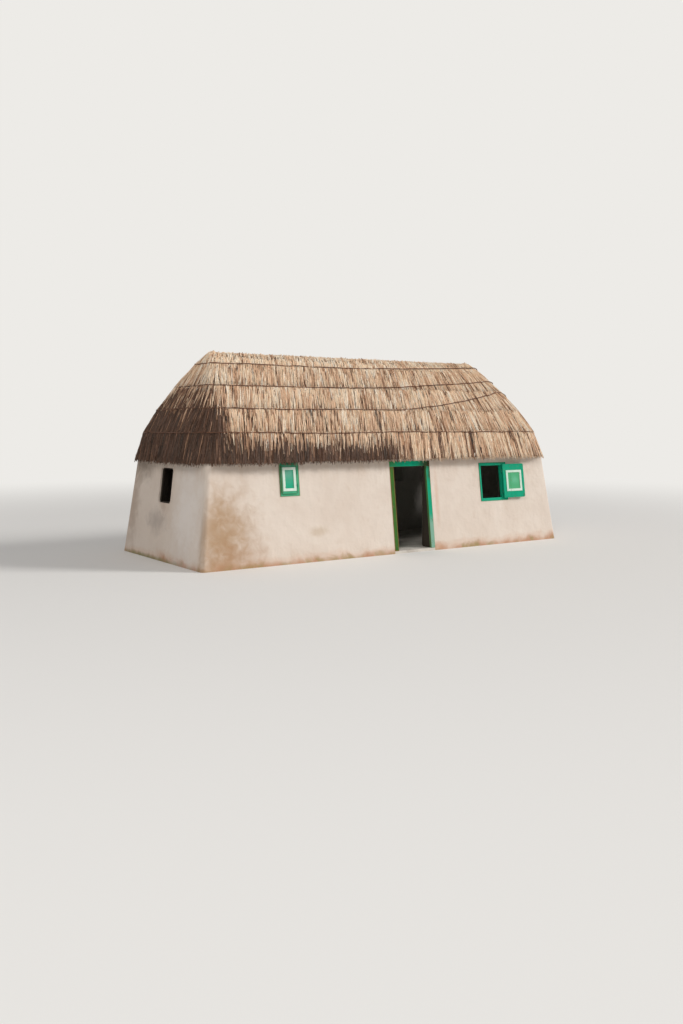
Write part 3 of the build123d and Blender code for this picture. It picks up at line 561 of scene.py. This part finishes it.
def sheet_mesh(name, rows, travelled):
    """A band of quads through rows of points from the foot up. It keeps the way up the slope, the room left
    above, the distance round, the painted shade and the crowding of the stalks at each point."""
    count = len(rows[0])
    mesh = bpy.data.meshes.new(name)
    quads = []
    for row in range(len(rows) - 1):
        for place in range(count):
            beside = (place + 1) % count
            corners = (row, place), (row, beside), (row + 1, beside), (row + 1, place)
            quads.append([across * count + along for across, along in corners])
    mesh.from_pydata([point for row in rows for point in row], [], quads)
    mesh.attributes.new("uphill", "FLOAT_VECTOR", "POINT")
    labels = ("room_above", "around", "damp", "crowding")
    for label in labels:
        mesh.attributes.new(label, "FLOAT", "POINT")
    uphill = mesh.attributes["uphill"].data
    room, around, damp, crowding = (mesh.attributes[label].data for label in labels)
    for place in range(count):
        above = 0.0
        for row in reversed(range(len(rows))):
            index = row * count + place
            higher = rows[min(row + 1, len(rows) - 1)][place]
            lower = rows[min(row, len(rows) - 2)][place]
            uphill[index].vector = combed((higher - lower).normalized(), rows[row][place])
            room[index].value = above
            around[index].value = travelled[place]
            damp[index].value = painted_shade_at(rows[row][place])
            crowding[index].value = 1.0
            if row:
                above += (rows[row][place] - rows[row - 1][place]).length
            else:
                crowding[index].value = FOOT_CROWD / (rows[1][place] - rows[0][place]).length
    return mesh


def course_sheet(name, line):
    """The sheet over one course, from just past its foot to the foot of the course above."""
    solid = solid_of(name)
    above = solid_of(COURSES[line + 1])
    low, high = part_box(name)
    hang = EAVE_HANG if line == 0 else FOOT_HANG
    rows = [[] for _ in range(3 + len(ROW_SHARES))]
    places = stations(solid, high.z - GRAZE)
    for station in places:
        bottom = surface_point(solid, station, low.z + GRAZE)
        top = surface_point(above, station, high.z + GRAZE)
        slope = (top - bottom).normalized()
        rows[0].append(bottom - slope * max(SHORTEST_HANG, hang + wander(station[2], line)))
        rows[1].append(bottom)
        for row, share in enumerate(ROW_SHARES, 2):
            rows[row].append(bottom.lerp(top, share))
        rows[-1].append(top)
    return sheet_mesh(name + "_sheet", rows, [station[2] for station in places])


def cap_sheet(name, line):
    """The sheet over the ridge cap, from its foot over the rounding to the ridge line."""
    solid = solid_of(name)
    low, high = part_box(name)
    rows = [[] for _ in range(8)]
    places = stations(solid, high.z - CAP_SIDE)
    for foot, outward, travelled in places:
        core = Vector((foot.x, 0, low.z + 0.01))
        for row, points in enumerate(rows[1:]):
            rise = math.radians(89 * row / (len(rows) - 2))
            ray = Vector((*(outward * math.cos(rise)), math.sin(rise)))
            points.append(first_hit(solid, core, ray))
        slope = (rows[2][-1] - rows[1][-1]).normalized()
        rows[0].append(rows[1][-1] - slope * max(SHORTEST_HANG, FOOT_HANG + wander(travelled, line)))
    return sheet_mesh(name + "_sheet", rows, [station[2] for station in places])


def butt_sheet():
    """The sheet under the eave, from its outer edge in to the wall, where the butts of the stalks show."""
    solid = solid_of(COURSES[0])
    above = solid_of(COURSES[1])
    low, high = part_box(COURSES[0])
    places = stations(solid, high.z - GRAZE)
    rows = [[], []]
    leans = []
    for station in places:
        edge = surface_point(solid, station, low.z + GRAZE)
        leans.append((surface_point(above, station, high.z + GRAZE) - edge).normalized())
        inward = Vector((*station[1], 0)) * -BUTT_REACH
        rows[1].append(Vector((edge.x, edge.y, low.z)))
        rows[0].append(Vector((edge.x, edge.y, low.z)) + inward)
    mesh = sheet_mesh("eave_butts_sheet", rows, [station[2] for station in places])
    for index, holder in enumerate(mesh.attributes["uphill"].data):
        holder.vector = leans[index % len(leans)]
        mesh.attributes["room_above"].data[index].value = BUTT_ROOM
        mesh.attributes["crowding"].data[index].value = 1.0
    return mesh


def new_tree(name, inputs, output):
    """A Geometry Nodes tree with named inputs, as (label, kind of socket, usual value), and one output."""
    tree = bpy.data.node_groups.new(name, "GeometryNodeTree")
    for label, kind, usual in inputs:
        socket = tree.interface.new_socket(label, in_out="INPUT", socket_type="NodeSocket" + kind)
        if usual is not None:
            socket.default_value = usual
    tree.interface.new_socket(output, in_out="OUTPUT", socket_type="NodeSocketGeometry")
    return tree, add(tree, "NodeGroupInput", out=None)


def completed(tree, given, made):
    """Ends a tree: what it made becomes plain mesh, with the finish that the tree is given."""
    made = add(tree, "GeometryNodeRealizeInstances", {0: made})
    made = add(tree, "GeometryNodeSetMaterial", {"Geometry": made, "Material": given["Finish"]})
    add(tree, "NodeGroupOutput", {0: made}, None)
    return tree


def stalk_tree():
    """Strews stalks over a sheet: each lies up the slope with its lower tip free, in clumps of like tint."""
    tree, given = new_tree(
        "strewn_stalks",
        (
            ("Sheet", "Geometry", None),
            ("Stalks per Square Metre", "Float", 500.0),
            ("Thickness", "Float", 0.016),
            ("Shortest", "Float", 0.25),
            ("Longest", "Float", 0.6),
            ("Lift", "Float", 0.016),
            ("Swing", "Float", 0.06),
            ("Slip", "Float", 0.05),
            ("Clump Width", "Float", 0.05),
            ("Darkest", "Float", 0.06),
            ("Palest", "Float", 0.95),
            ("Seed", "Int", 1),
            ("Finish", "Material", None),
        ),
        "Stalks",
    )
    crowding, around, room, damp = (
        add(tree, "GeometryNodeInputNamedAttribute", {"Name": label}, data_type="FLOAT")
        for label in ("crowding", "around", "room_above", "damp")
    )
    sockets = {0: given["Stalks per Square Metre"], 1: crowding}
    density = add(tree, "ShaderNodeMath", sockets, operation="MULTIPLY")
    sockets = {"Mesh": given["Sheet"], "Density": density, "Seed": given["Seed"]}
    points = add(tree, "GeometryNodeDistributePointsOnFaces", sockets, "Points")
    square = points.node.outputs["Normal"]
    uphill = add(tree, "GeometryNodeInputNamedAttribute", {"Name": "uphill"}, data_type="FLOAT_VECTOR")
    # What is drawn for each stalk: the least, the most and the seed
    own, reached, length, width, pitch, swing, roll, raised, slipped = (
        add(tree, "FunctionNodeRandomValue", {2: least, 3: most, "Seed": seed}, 1, data_type="FLOAT")
        for least, most, seed in (
            (-0.17, 0.17, 11),
            (-0.35, 0.35, 12),
            (given["Shortest"], given["Longest"], 21),
            (0.65, 1.45, 31),
            (0.3, 1.6, 41),
            (-1.0, 1.0, 51),
            (0.0, 6.283, 61),
            (0.1, 1.0, 71),
            (0.0, 1.0, 81),
        )
    )

    # The tint comes in clumps, narrow across the slope and long down it, and is darker where shade is painted
    # on
    across = add(tree, "ShaderNodeMath", {0: around, 1: given["Clump Width"]}, operation="DIVIDE")
    down = add(tree, "ShaderNodeMath", {0: room, 1: 2.2}, operation="MULTIPLY")
    layer = add(tree, "ShaderNodeMath", {0: given["Seed"], 1: 3.7}, operation="MULTIPLY")
    flat = add(tree, "ShaderNodeCombineXYZ", {0: across, 1: down, 2: layer})
    clump = add(tree, "ShaderNodeTexNoise", {"Vector": flat, "Scale": 0.7, "Detail": 3.0, "Roughness": 0.65})
    sockets = {0: clump, 1: 0.33, 2: 0.6, 3: given["Darkest"], 4: given["Palest"]}
    tint = add(tree, "ShaderNodeMapRange", sockets)
    tint = add(tree, "ShaderNodeMath", {0: tint, 1: own}, operation="ADD")
    damp = add(tree, "ShaderNodeMath", {0: damp, 1: reached}, operation="ADD")
    damp = add(tree, "ShaderNodeMapRange", {0: damp, 1: 0.3, 2: 0.75, 3: 1.0, 4: 0.1})
    tint = add(tree, "ShaderNodeMath", {0: tint, 1: damp}, operation="MULTIPLY")
    sockets = {"Geometry": points, "Name": "tint", "Value": tint}
    points = add(tree, "GeometryNodeStoreNamedAttribute", sockets, data_type="FLOAT", domain="POINT")

    # One stalk of unit length, its tip at the origin and thinner than its butt, with a slight sag
    sockets = {"Vertices": 3, "Side Segments": 2, "Radius Top": 0.5, "Radius Bottom": 0.3, "Depth": 1.0}
    shape = add(tree, "GeometryNodeMeshCone", sockets, "Mesh", fill_type="NGON")
    height = add(tree, "ShaderNodeSeparateXYZ", {0: add(tree, "GeometryNodeInputPosition")}, 2)
    left = add(tree, "ShaderNodeMath", {0: 1.0, 1: height}, operation="SUBTRACT")
    sag = add(tree, "ShaderNodeMath", {0: height, 1: left}, operation="MULTIPLY")
    sag = add(tree, "ShaderNodeMath", {0: sag, 1: 1.6}, operation="MULTIPLY")
    sockets = {"Geometry": shape, "Offset": add(tree, "ShaderNodeCombineXYZ", {0: sag})}
    shape = add(tree, "GeometryNodeSetPosition", sockets)
    sockets = {"Geometry": shape, "Name": "along", "Value": height}
    shape = add(tree, "GeometryNodeStoreNamedAttribute", sockets, data_type="FLOAT", domain="POINT")

    # Each stalk's length, thickness and lie
    room = add(tree, "ShaderNodeMath", {0: room, 1: 0.02}, operation="ADD")
    length = add(tree, "ShaderNodeMath", {0: length, 1: room}, operation="MINIMUM")
    width = add(tree, "ShaderNodeMath", {0: width, 1: given["Thickness"]}, operation="MULTIPLY")
    sockets = {"Primary Axis": uphill, "Secondary Axis": square}
    lie = add(tree, "FunctionNodeAxesToRotation", sockets, primary_axis="Z", secondary_axis="Y")
    pitch = add(tree, "ShaderNodeMath", {0: pitch, 1: given["Lift"]}, operation="MULTIPLY")
    pitch = add(tree, "ShaderNodeMath", {0: pitch, 1: length}, operation="DIVIDE")
    pitch = add(tree, "ShaderNodeMath", {0: pitch, 1: 0.3}, operation="MINIMUM")
    swing = add(tree, "ShaderNodeMath", {0: swing, 1: given["Swing"]}, operation="MULTIPLY")
    for turns in ({0: pitch, 1: swing}, {2: roll}):
        turned = add(tree, "FunctionNodeEulerToRotation", {0: add(tree, "ShaderNodeCombineXYZ", turns)})
        lie = add(tree, "FunctionNodeRotateRotation", {0: lie, 1: turned}, rotation_space="LOCAL")
    raised = add(tree, "ShaderNodeMath", {0: raised, 1: given["Lift"]}, operation="MULTIPLY")
    raised = add(tree, "ShaderNodeVectorMath", {0: square, "Scale": raised}, operation="SCALE")
    slipped = add(tree, "ShaderNodeMath", {0: slipped, 1: 4.0}, operation="POWER")
    slipped = add(tree, "ShaderNodeMath", {0: slipped, 1: given["Slip"]}, operation="MULTIPLY")
    slipped = add(tree, "ShaderNodeVectorMath", {0: uphill, "Scale": slipped}, operation="SCALE")
    raised = add(tree, "ShaderNodeVectorMath", {0: raised, 1: slipped}, operation="SUBTRACT")
    points = add(tree, "GeometryNodeSetPosition", {"Geometry": points, "Offset": raised})
    size = add(tree, "ShaderNodeCombineXYZ", {0: width, 1: width, 2: length})
    sockets = {"Points": points, "Instance": shape, "Rotation": lie, "Scale": size}
    stalks = add(tree, "GeometryNodeInstanceOnPoints", sockets)
    return completed(tree, given, stalks)


def rod_tree():
    """A crooked stick that follows a line."""
    tree, given = new_tree(
        "bound_rod",
        (
            ("Line", "Geometry", None),
            ("Thickness", "Float", 0.02),
            ("Crookedness", "Float", 0.05),
            ("Finish", "Material", None),
        ),
        "Rod",
    )
    line = add(tree, "GeometryNodeMeshToCurve", {"Mesh": given["Line"]})
    line = add(tree, "GeometryNodeResampleCurve", {"Curve": line, "Length": 0.07}, mode="LENGTH")
    here = add(tree, "GeometryNodeInputPosition")
    shift = add(tree, "ShaderNodeTexNoise", {"Vector": here, "Scale": 3.5, "Detail": 2.0}, "Color")
    shift = add(tree, "ShaderNodeVectorMath", {0: shift, 1: (0.5, 0.5, 0.5)}, operation="SUBTRACT")
    shift = add(tree, "ShaderNodeVectorMath", {0: shift, "Scale": given["Crookedness"]}, operation="SCALE")
    line = add(tree, "GeometryNodeSetPosition", {"Geometry": line, "Offset": shift})
    thick = add(tree, "ShaderNodeTexNoise", {"Vector": here, "Scale": 6.0, "Detail": 2.0})
    thick = add(tree, "ShaderNodeMapRange", {0: thick, 1: 0.3, 2: 0.7, 3: 0.75, 4: 1.25})
    thick = add(tree, "ShaderNodeMath", {0: thick, 1: given["Thickness"]}, operation="MULTIPLY")
    ring = add(tree, "GeometryNodeCurvePrimitiveCircle", {"Resolution": 8, "Radius": 0.5}, mode="RADIUS")
    rod = add(tree, "GeometryNodeCurveToMesh", {"Curve": line, "Profile Curve": ring, "Scale": thick})
    return completed(tree, given, rod)


def tie_tree():
    """Loops of twine at even steps round a rod's line."""
    tree, given = new_tree(
        "rod_ties",
        (
            ("Line", "Geometry", None),
            ("Spacing", "Float", 0.5),
            ("Loop Radius", "Float", 0.015),
            ("Twine Thickness", "Float", 0.006),
            ("Finish", "Material", None),
        ),
        "Ties",
    )
    line = add(tree, "GeometryNodeMeshToCurve", {"Mesh": given["Line"]})
    sockets = {"Curve": line, "Length": given["Spacing"]}
    points = add(tree, "GeometryNodeCurveToPoints", sockets, "Points", mode="LENGTH")
    sockets = {"Resolution": 10, "Radius": given["Loop Radius"]}
    loop = add(tree, "GeometryNodeCurvePrimitiveCircle", sockets, mode="RADIUS")
    ring = add(tree, "GeometryNodeCurvePrimitiveCircle", {"Resolution": 5, "Radius": 0.5}, mode="RADIUS")
    sockets = {"Curve": loop, "Profile Curve": ring, "Scale": given["Twine Thickness"]}
    loop = add(tree, "GeometryNodeCurveToMesh", sockets)
    sockets = {"Points": points, "Instance": loop, "Rotation": points.node.outputs["Rotation"]}
    ties = add(tree, "GeometryNodeInstanceOnPoints", sockets)
    return completed(tree, given, ties)


def nail_tree():
    """Forged nail heads at points, each facing the way that its point says."""
    tree, given = new_tree(
        "nail_heads",
        (("Places", "Geometry", None), ("Head", "Float", 0.009), ("Finish", "Material", None)),
        "Nails",
    )
    dome = add(tree, "GeometryNodeMeshUVSphere", {"Segments": 8, "Rings": 5, "Radius": given["Head"]}, "Mesh")
    facing = add(tree, "GeometryNodeInputNamedAttribute", {"Name": "facing"}, data_type="FLOAT_VECTOR")
    turned = add(tree, "FunctionNodeAlignRotationToVector", {"Vector": facing}, axis="Z")
    sockets = {"Points": given["Places"], "Instance": dome, "Rotation": turned, "Scale": (1.0, 1.0, 0.4)}
    nails = add(tree, "GeometryNodeInstanceOnPoints", sockets)
    return completed(tree, given, nails)


def grown(name, mesh, tree, **sizes):
    """A plain mesh object made by a Geometry Nodes tree on a mesh, with the tree's inputs set by name."""
    holder = new_object(name + "_guide", mesh)
    modifier = holder.modifiers.new("nodes", "NODES")
    modifier.node_group = tree
    for item in tree.interface.items_tree:
        key = item.name.lower().replace(" ", "_")
        if item.in_out == "INPUT" and key in sizes:
            modifier[item.identifier] = sizes[key]
    bpy.context.view_layer.update()
    seen = holder.evaluated_get(bpy.context.evaluated_depsgraph_get())
    plain = bpy.data.meshes.new_from_object(seen)
    bpy.data.objects.remove(holder)
    return new_object(name, plain)


def placed(piece, slot, body, *replaced):
    """Puts a piece on its body, for the nodes that it stands for, and hides these. Its finish's slot is not
    used.
    """
    if replaced:
        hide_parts(*replaced)
    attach(piece, body)


ROD_DROP = 0.03  # how far under a course's foot its rod lies
ROD_STAND = 0.016  # how far the rod's middle line lies off the thatch
SLOPE_SPAN = 0.2  # how far down the slope is taken from
# The rods that climb the front towards its right hip: where each starts and ends, and how far up it gets
CLIMBS = {2: (0.1, 3.9, 0.48), 3: (-1.0, 3.8, 0.27), 4: (-0.8, 3.6, 0.14)}


def climb(point, outward, line):
    """How far up the slope a rod has strayed at a place."""
    start, end, rise = CLIMBS.get(line, (0.0, 1.0, 0.0))
    share = min(max((point.x - start) / (end - start), 0.0), 1.0)
    return rise * share**1.5 * smooth(-outward.y, 0.1, 0.9)


def rod_line(name, line):
    """The closed line of the rod that holds a course down just under its foot, wandering as the foot does."""
    solid = solid_of(COURSES[line - 1])
    above = solid_of(name)
    low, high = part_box(name)
    points = []
    for station in stations(above, high.z - CAP_SIDE):
        foot = surface_point(above, station, low.z + GRAZE)
        rise = climb(foot, station[1], line)
        if rise > GRAZE:
            foot = surface_point(above, station, low.z + rise)
        under = surface_point(solid, station, low.z - SLOPE_SPAN)
        slope = (foot - under).normalized()
        outward = slope.cross(Vector((-station[1].y, station[1].x, 0))).normalized()
        if outward.z < 0:
            outward = -outward
        stand = ROD_STAND * (1 + smooth(rise, 0.0, 0.08))
        points.append(foot - slope * (ROD_DROP + wander(station[2], line)) + outward * stand)
    mesh = bpy.data.meshes.new("rod_line")
    count = len(points)
    mesh.from_pydata(points, [(place, (place + 1) % count) for place in range(count)], [])
    return mesh


bound = rod_tree()
tied = tie_tree()
for line, name in enumerate(COURSES[1:], 1):
    rod = grown(f"binding_rod_{line}", rod_line(name, line), bound, finish=rod_wood)
    placed(rod, "binding_wood", "house", "binding_rods")
    ties = grown(f"rod_ties_{line}", rod_line(name, line), tied, finish=twine)
    placed(ties, "binding_wood", "house")

# How the stalks of each course differ from the usual: the ridge's are short, folded over and paler
STREWN = {
    "thatch_eave_course": {"darkest": -0.05, "palest": 0.9, "slip": 0.09},
    "thatch_second_course": {"darkest": 0.0},
    "thatch_third_course": {},
    "thatch_fourth_course": {"darkest": 0.12},
    "thatch_ridge_cap": {
        "stalks_per_square_metre": 900.0,
        "shortest": 0.1,
        "longest": 0.24,
        "lift": 0.005,
        "swing": 0.03,
        "slip": 0.02,
        "darkest": 0.25,
    },
}
strewn = stalk_tree()
for line, (name, differing) in enumerate(STREWN.items()):
    sheet = cap_sheet(name, line) if name == COURSES[-1] else course_sheet(name, line)
    title = name.replace("thatch", "stalks")
    stalks = grown(title, sheet, strewn, seed=line + 1, finish=stalk, **differing)
    placed(stalks, "stalk_thatch", "house")
butts = grown(
    "stalks_eave_butts",
    butt_sheet(),
    strewn,
    stalks_per_square_metre=420.0,
    lift=0.05,
    swing=0.1,
    seed=9,
    finish=stalk,
)
placed(butts, "stalk_thatch", "house")


# The door's boards and ledges, and the nails
BOARD_COUNT = 6
BOARD_GAP = 0.003
BOARD_EDGE = 0.004
LEAF_THICKNESS = 0.03
LEDGE_INSET = 0.03
LEDGE_WIDTH = 0.13
LEDGE_HEIGHTS = (0.23, 0.94, 1.65)


def board_mesh(name, boxes):
    """Boards from their low and high corners, with worn edges."""
    made = bmesh.new()
    for low, high in boxes:
        cube = bmesh.ops.create_cube(made, size=1.0)
        bmesh.ops.scale(made, vec=high - low, verts=cube["verts"])
        bmesh.ops.translate(made, vec=(low + high) / 2, verts=cube["verts"])
    bmesh.ops.bevel(made, geom=made.edges[:], offset=BOARD_EDGE, segments=2, affect="EDGES", profile=0.5)
    mesh = bpy.data.meshes.new(name)
    made.to_mesh(mesh)
    made.free()
    return mesh


def nail_places(name, places):
    """A mesh of loose points, each with the way that its nail faces."""
    mesh = bpy.data.meshes.new(name)
    mesh.from_pydata([point for point, _ in places], [], [])
    facing = mesh.attributes.new("facing", "FLOAT_VECTOR", "POINT")
    for index, (_, way) in enumerate(places):
        facing.data[index].vector = way
    return mesh


leaf_low, leaf_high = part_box("door_leaf")
leaf_face = leaf_high.x
leaf_back = leaf_face - LEAF_THICKNESS
board_width = (leaf_high.y - leaf_low.y) / BOARD_COUNT
leaf_boxes = []
leaf_nails = []
for number in range(BOARD_COUNT):
    start = leaf_low.y + board_width * number
    low = Vector((leaf_back, start + BOARD_GAP / 2, leaf_low.z + 0.004 * (number % 3)))
    high = Vector((leaf_face, start + board_width - BOARD_GAP / 2, leaf_high.z))
    leaf_boxes.append((low, high))
    for height in LEDGE_HEIGHTS:
        for shift in (-0.03, 0.03):
            place = Vector((leaf_face, start + board_width / 2 + shift, leaf_low.z + height + shift / 2))
            leaf_nails.append((place, (1, 0, 0)))
for height in LEDGE_HEIGHTS:
    low = Vector((leaf_low.x, leaf_low.y + LEDGE_INSET, leaf_low.z + height - LEDGE_WIDTH / 2))
    high = Vector((leaf_back, leaf_high.y - LEDGE_INSET, leaf_low.z + height + LEDGE_WIDTH / 2))
    leaf_boxes.append((low, high))
leaf_mesh = board_mesh("door_boards", leaf_boxes)
leaf_mesh.materials.append(door_paint)
leaf = new_object("door_boards", leaf_mesh)
placed(leaf, "green_paint", "door", "door_leaf")

nailed = nail_tree()
nails = grown("door_nails", nail_places("door_nail_places", leaf_nails), nailed, finish=rusted_iron)
placed(nails, "hinge_iron", "door")


def face_nails(node, shares):
    """Nails in a board's face at shares of its width and height, on the side that looks away from the house."""
    solid = solid_of(node)
    low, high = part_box(node)
    side = Vector((0, math.copysign(1, low.y + high.y), 0))
    places = []
    for across, up in shares:
        target = Vector((low.x + (high.x - low.x) * across, 0, low.z + (high.z - low.z) * up))
        places.append((first_hit(solid, target, side), side))
    return places


CORNERS = ((0.05, 0.06), (0.95, 0.06), (0.05, 0.94), (0.95, 0.94))
house_nails = face_nails("left_shutter", CORNERS) + face_nails("right_shutter", CORNERS)
house_nails += face_nails("door_head", ((0.03, 0.3), (0.03, 0.7), (0.97, 0.3), (0.97, 0.7)))
for jamb in ("door_left_jamb", "door_right_jamb"):
    house_nails += face_nails(jamb, [(0.5, up) for up in (0.08, 0.35, 0.65, 0.93)])
places = nail_places("frame_nail_places", house_nails)
nails = grown("frame_nails", places, nailed, head=0.008, finish=rusted_iron)
placed(nails, "hinge_iron", "house")


# Camera, light and floor
BACKDROP = "#EDEBE7"


def camera():
    """The place and lens that give the photograph's view of the house."""
    made = new_object("camera", bpy.data.cameras.new("camera"))
    made.location = (-12.916, -18.299, 2.842)
    made.rotation_euler = (math.radians(90 - 0.98), 0, math.radians(-34.67))
    made.data.lens = 33.01
    made.data.sensor_width = 36
    made.data.shift_y = -0.0693
    made.data.clip_end = 500
    bpy.context.scene.camera = made


def lamp(name, place, size, power):
    """A square soft lamp that faces the house."""
    made = new_object(name, bpy.data.lights.new(name, "AREA"))
    made.data.size = size
    made.data.energy = power
    made.location = place
    aim = Vector((0, 0, 1.5)) - Vector(place)
    made.rotation_euler = aim.to_track_quat("-Z", "Y").to_euler()


def floor():
    """A plain pale floor that the camera sees run into the backdrop far off."""
    made, tree, shader, place = new_material("pale_floor")
    shader.inputs["Base Color"].default_value = linear("#ECE9E4")
    shader.inputs["Roughness"].default_value = 0.9
    away = add(tree, "ShaderNodeVectorMath", {0: place}, "Value", operation="LENGTH")
    away = add(tree, "ShaderNodeMapRange", {0: away, 1: 9, 2: 30}, interpolation_type="SMOOTHSTEP")
    seen = add(tree, "ShaderNodeLightPath", out="Is Camera Ray")
    away = add(tree, "ShaderNodeMath", {0: away, 1: seen}, operation="MULTIPLY")
    far = add(tree, "ShaderNodeEmission", {"Color": linear(BACKDROP)})
    mixed = add(tree, "ShaderNodeMixShader", {0: away, 1: shader.outputs[0], 2: far})
    tree.links.new(mixed, tree.nodes["Material Output"].inputs["Surface"])
    mesh = bpy.data.meshes.new("floor")
    reach = 120
    corners = [(-reach, -reach, 0), (reach, -reach, 0), (reach, reach, 0), (-reach, reach, 0)]
    mesh.from_pydata(corners, [], [(0, 1, 2, 3)])
    mesh.materials.append(made)
    plane = new_object("floor", mesh)


def surroundings():
    """Soft light from all round, and a pale plain backdrop for the camera and for what is mirrored."""
    world = bpy.data.worlds.new("surroundings")
    world.use_nodes = True
    bpy.context.scene.world = world
    tree = world.node_tree
    light = tree.nodes["Background"]
    light.inputs["Color"].default_value = linear("#F1F1F3")
    light.inputs["Strength"].default_value = 0.38
    shown = add(tree, "ShaderNodeBackground", {"Color": linear(BACKDROP), "Strength": 1.0})
    path = add(tree, "ShaderNodeLightPath", out=None)
    direct = 0.0
    for kind in ("Is Camera Ray", "Is Glossy Ray", "Is Transmission Ray"):
        direct = add(tree, "ShaderNodeMath", {0: path[kind], 1: direct}, operation="MAXIMUM")
    mixed = add(tree, "ShaderNodeMixShader", {0: direct, 1: light.outputs[0], 2: shown})
    tree.links.new(mixed, tree.nodes["World Output"].inputs["Surface"])


camera()
surroundings()
floor()
lamp("key_lamp", (114, -90, 78), 42, 178000)
lamp("fill_lamp", (-25.5, -25.3, 27), 8, 3700)
bpy.context.scene.view_settings.view_transform = "Standard"
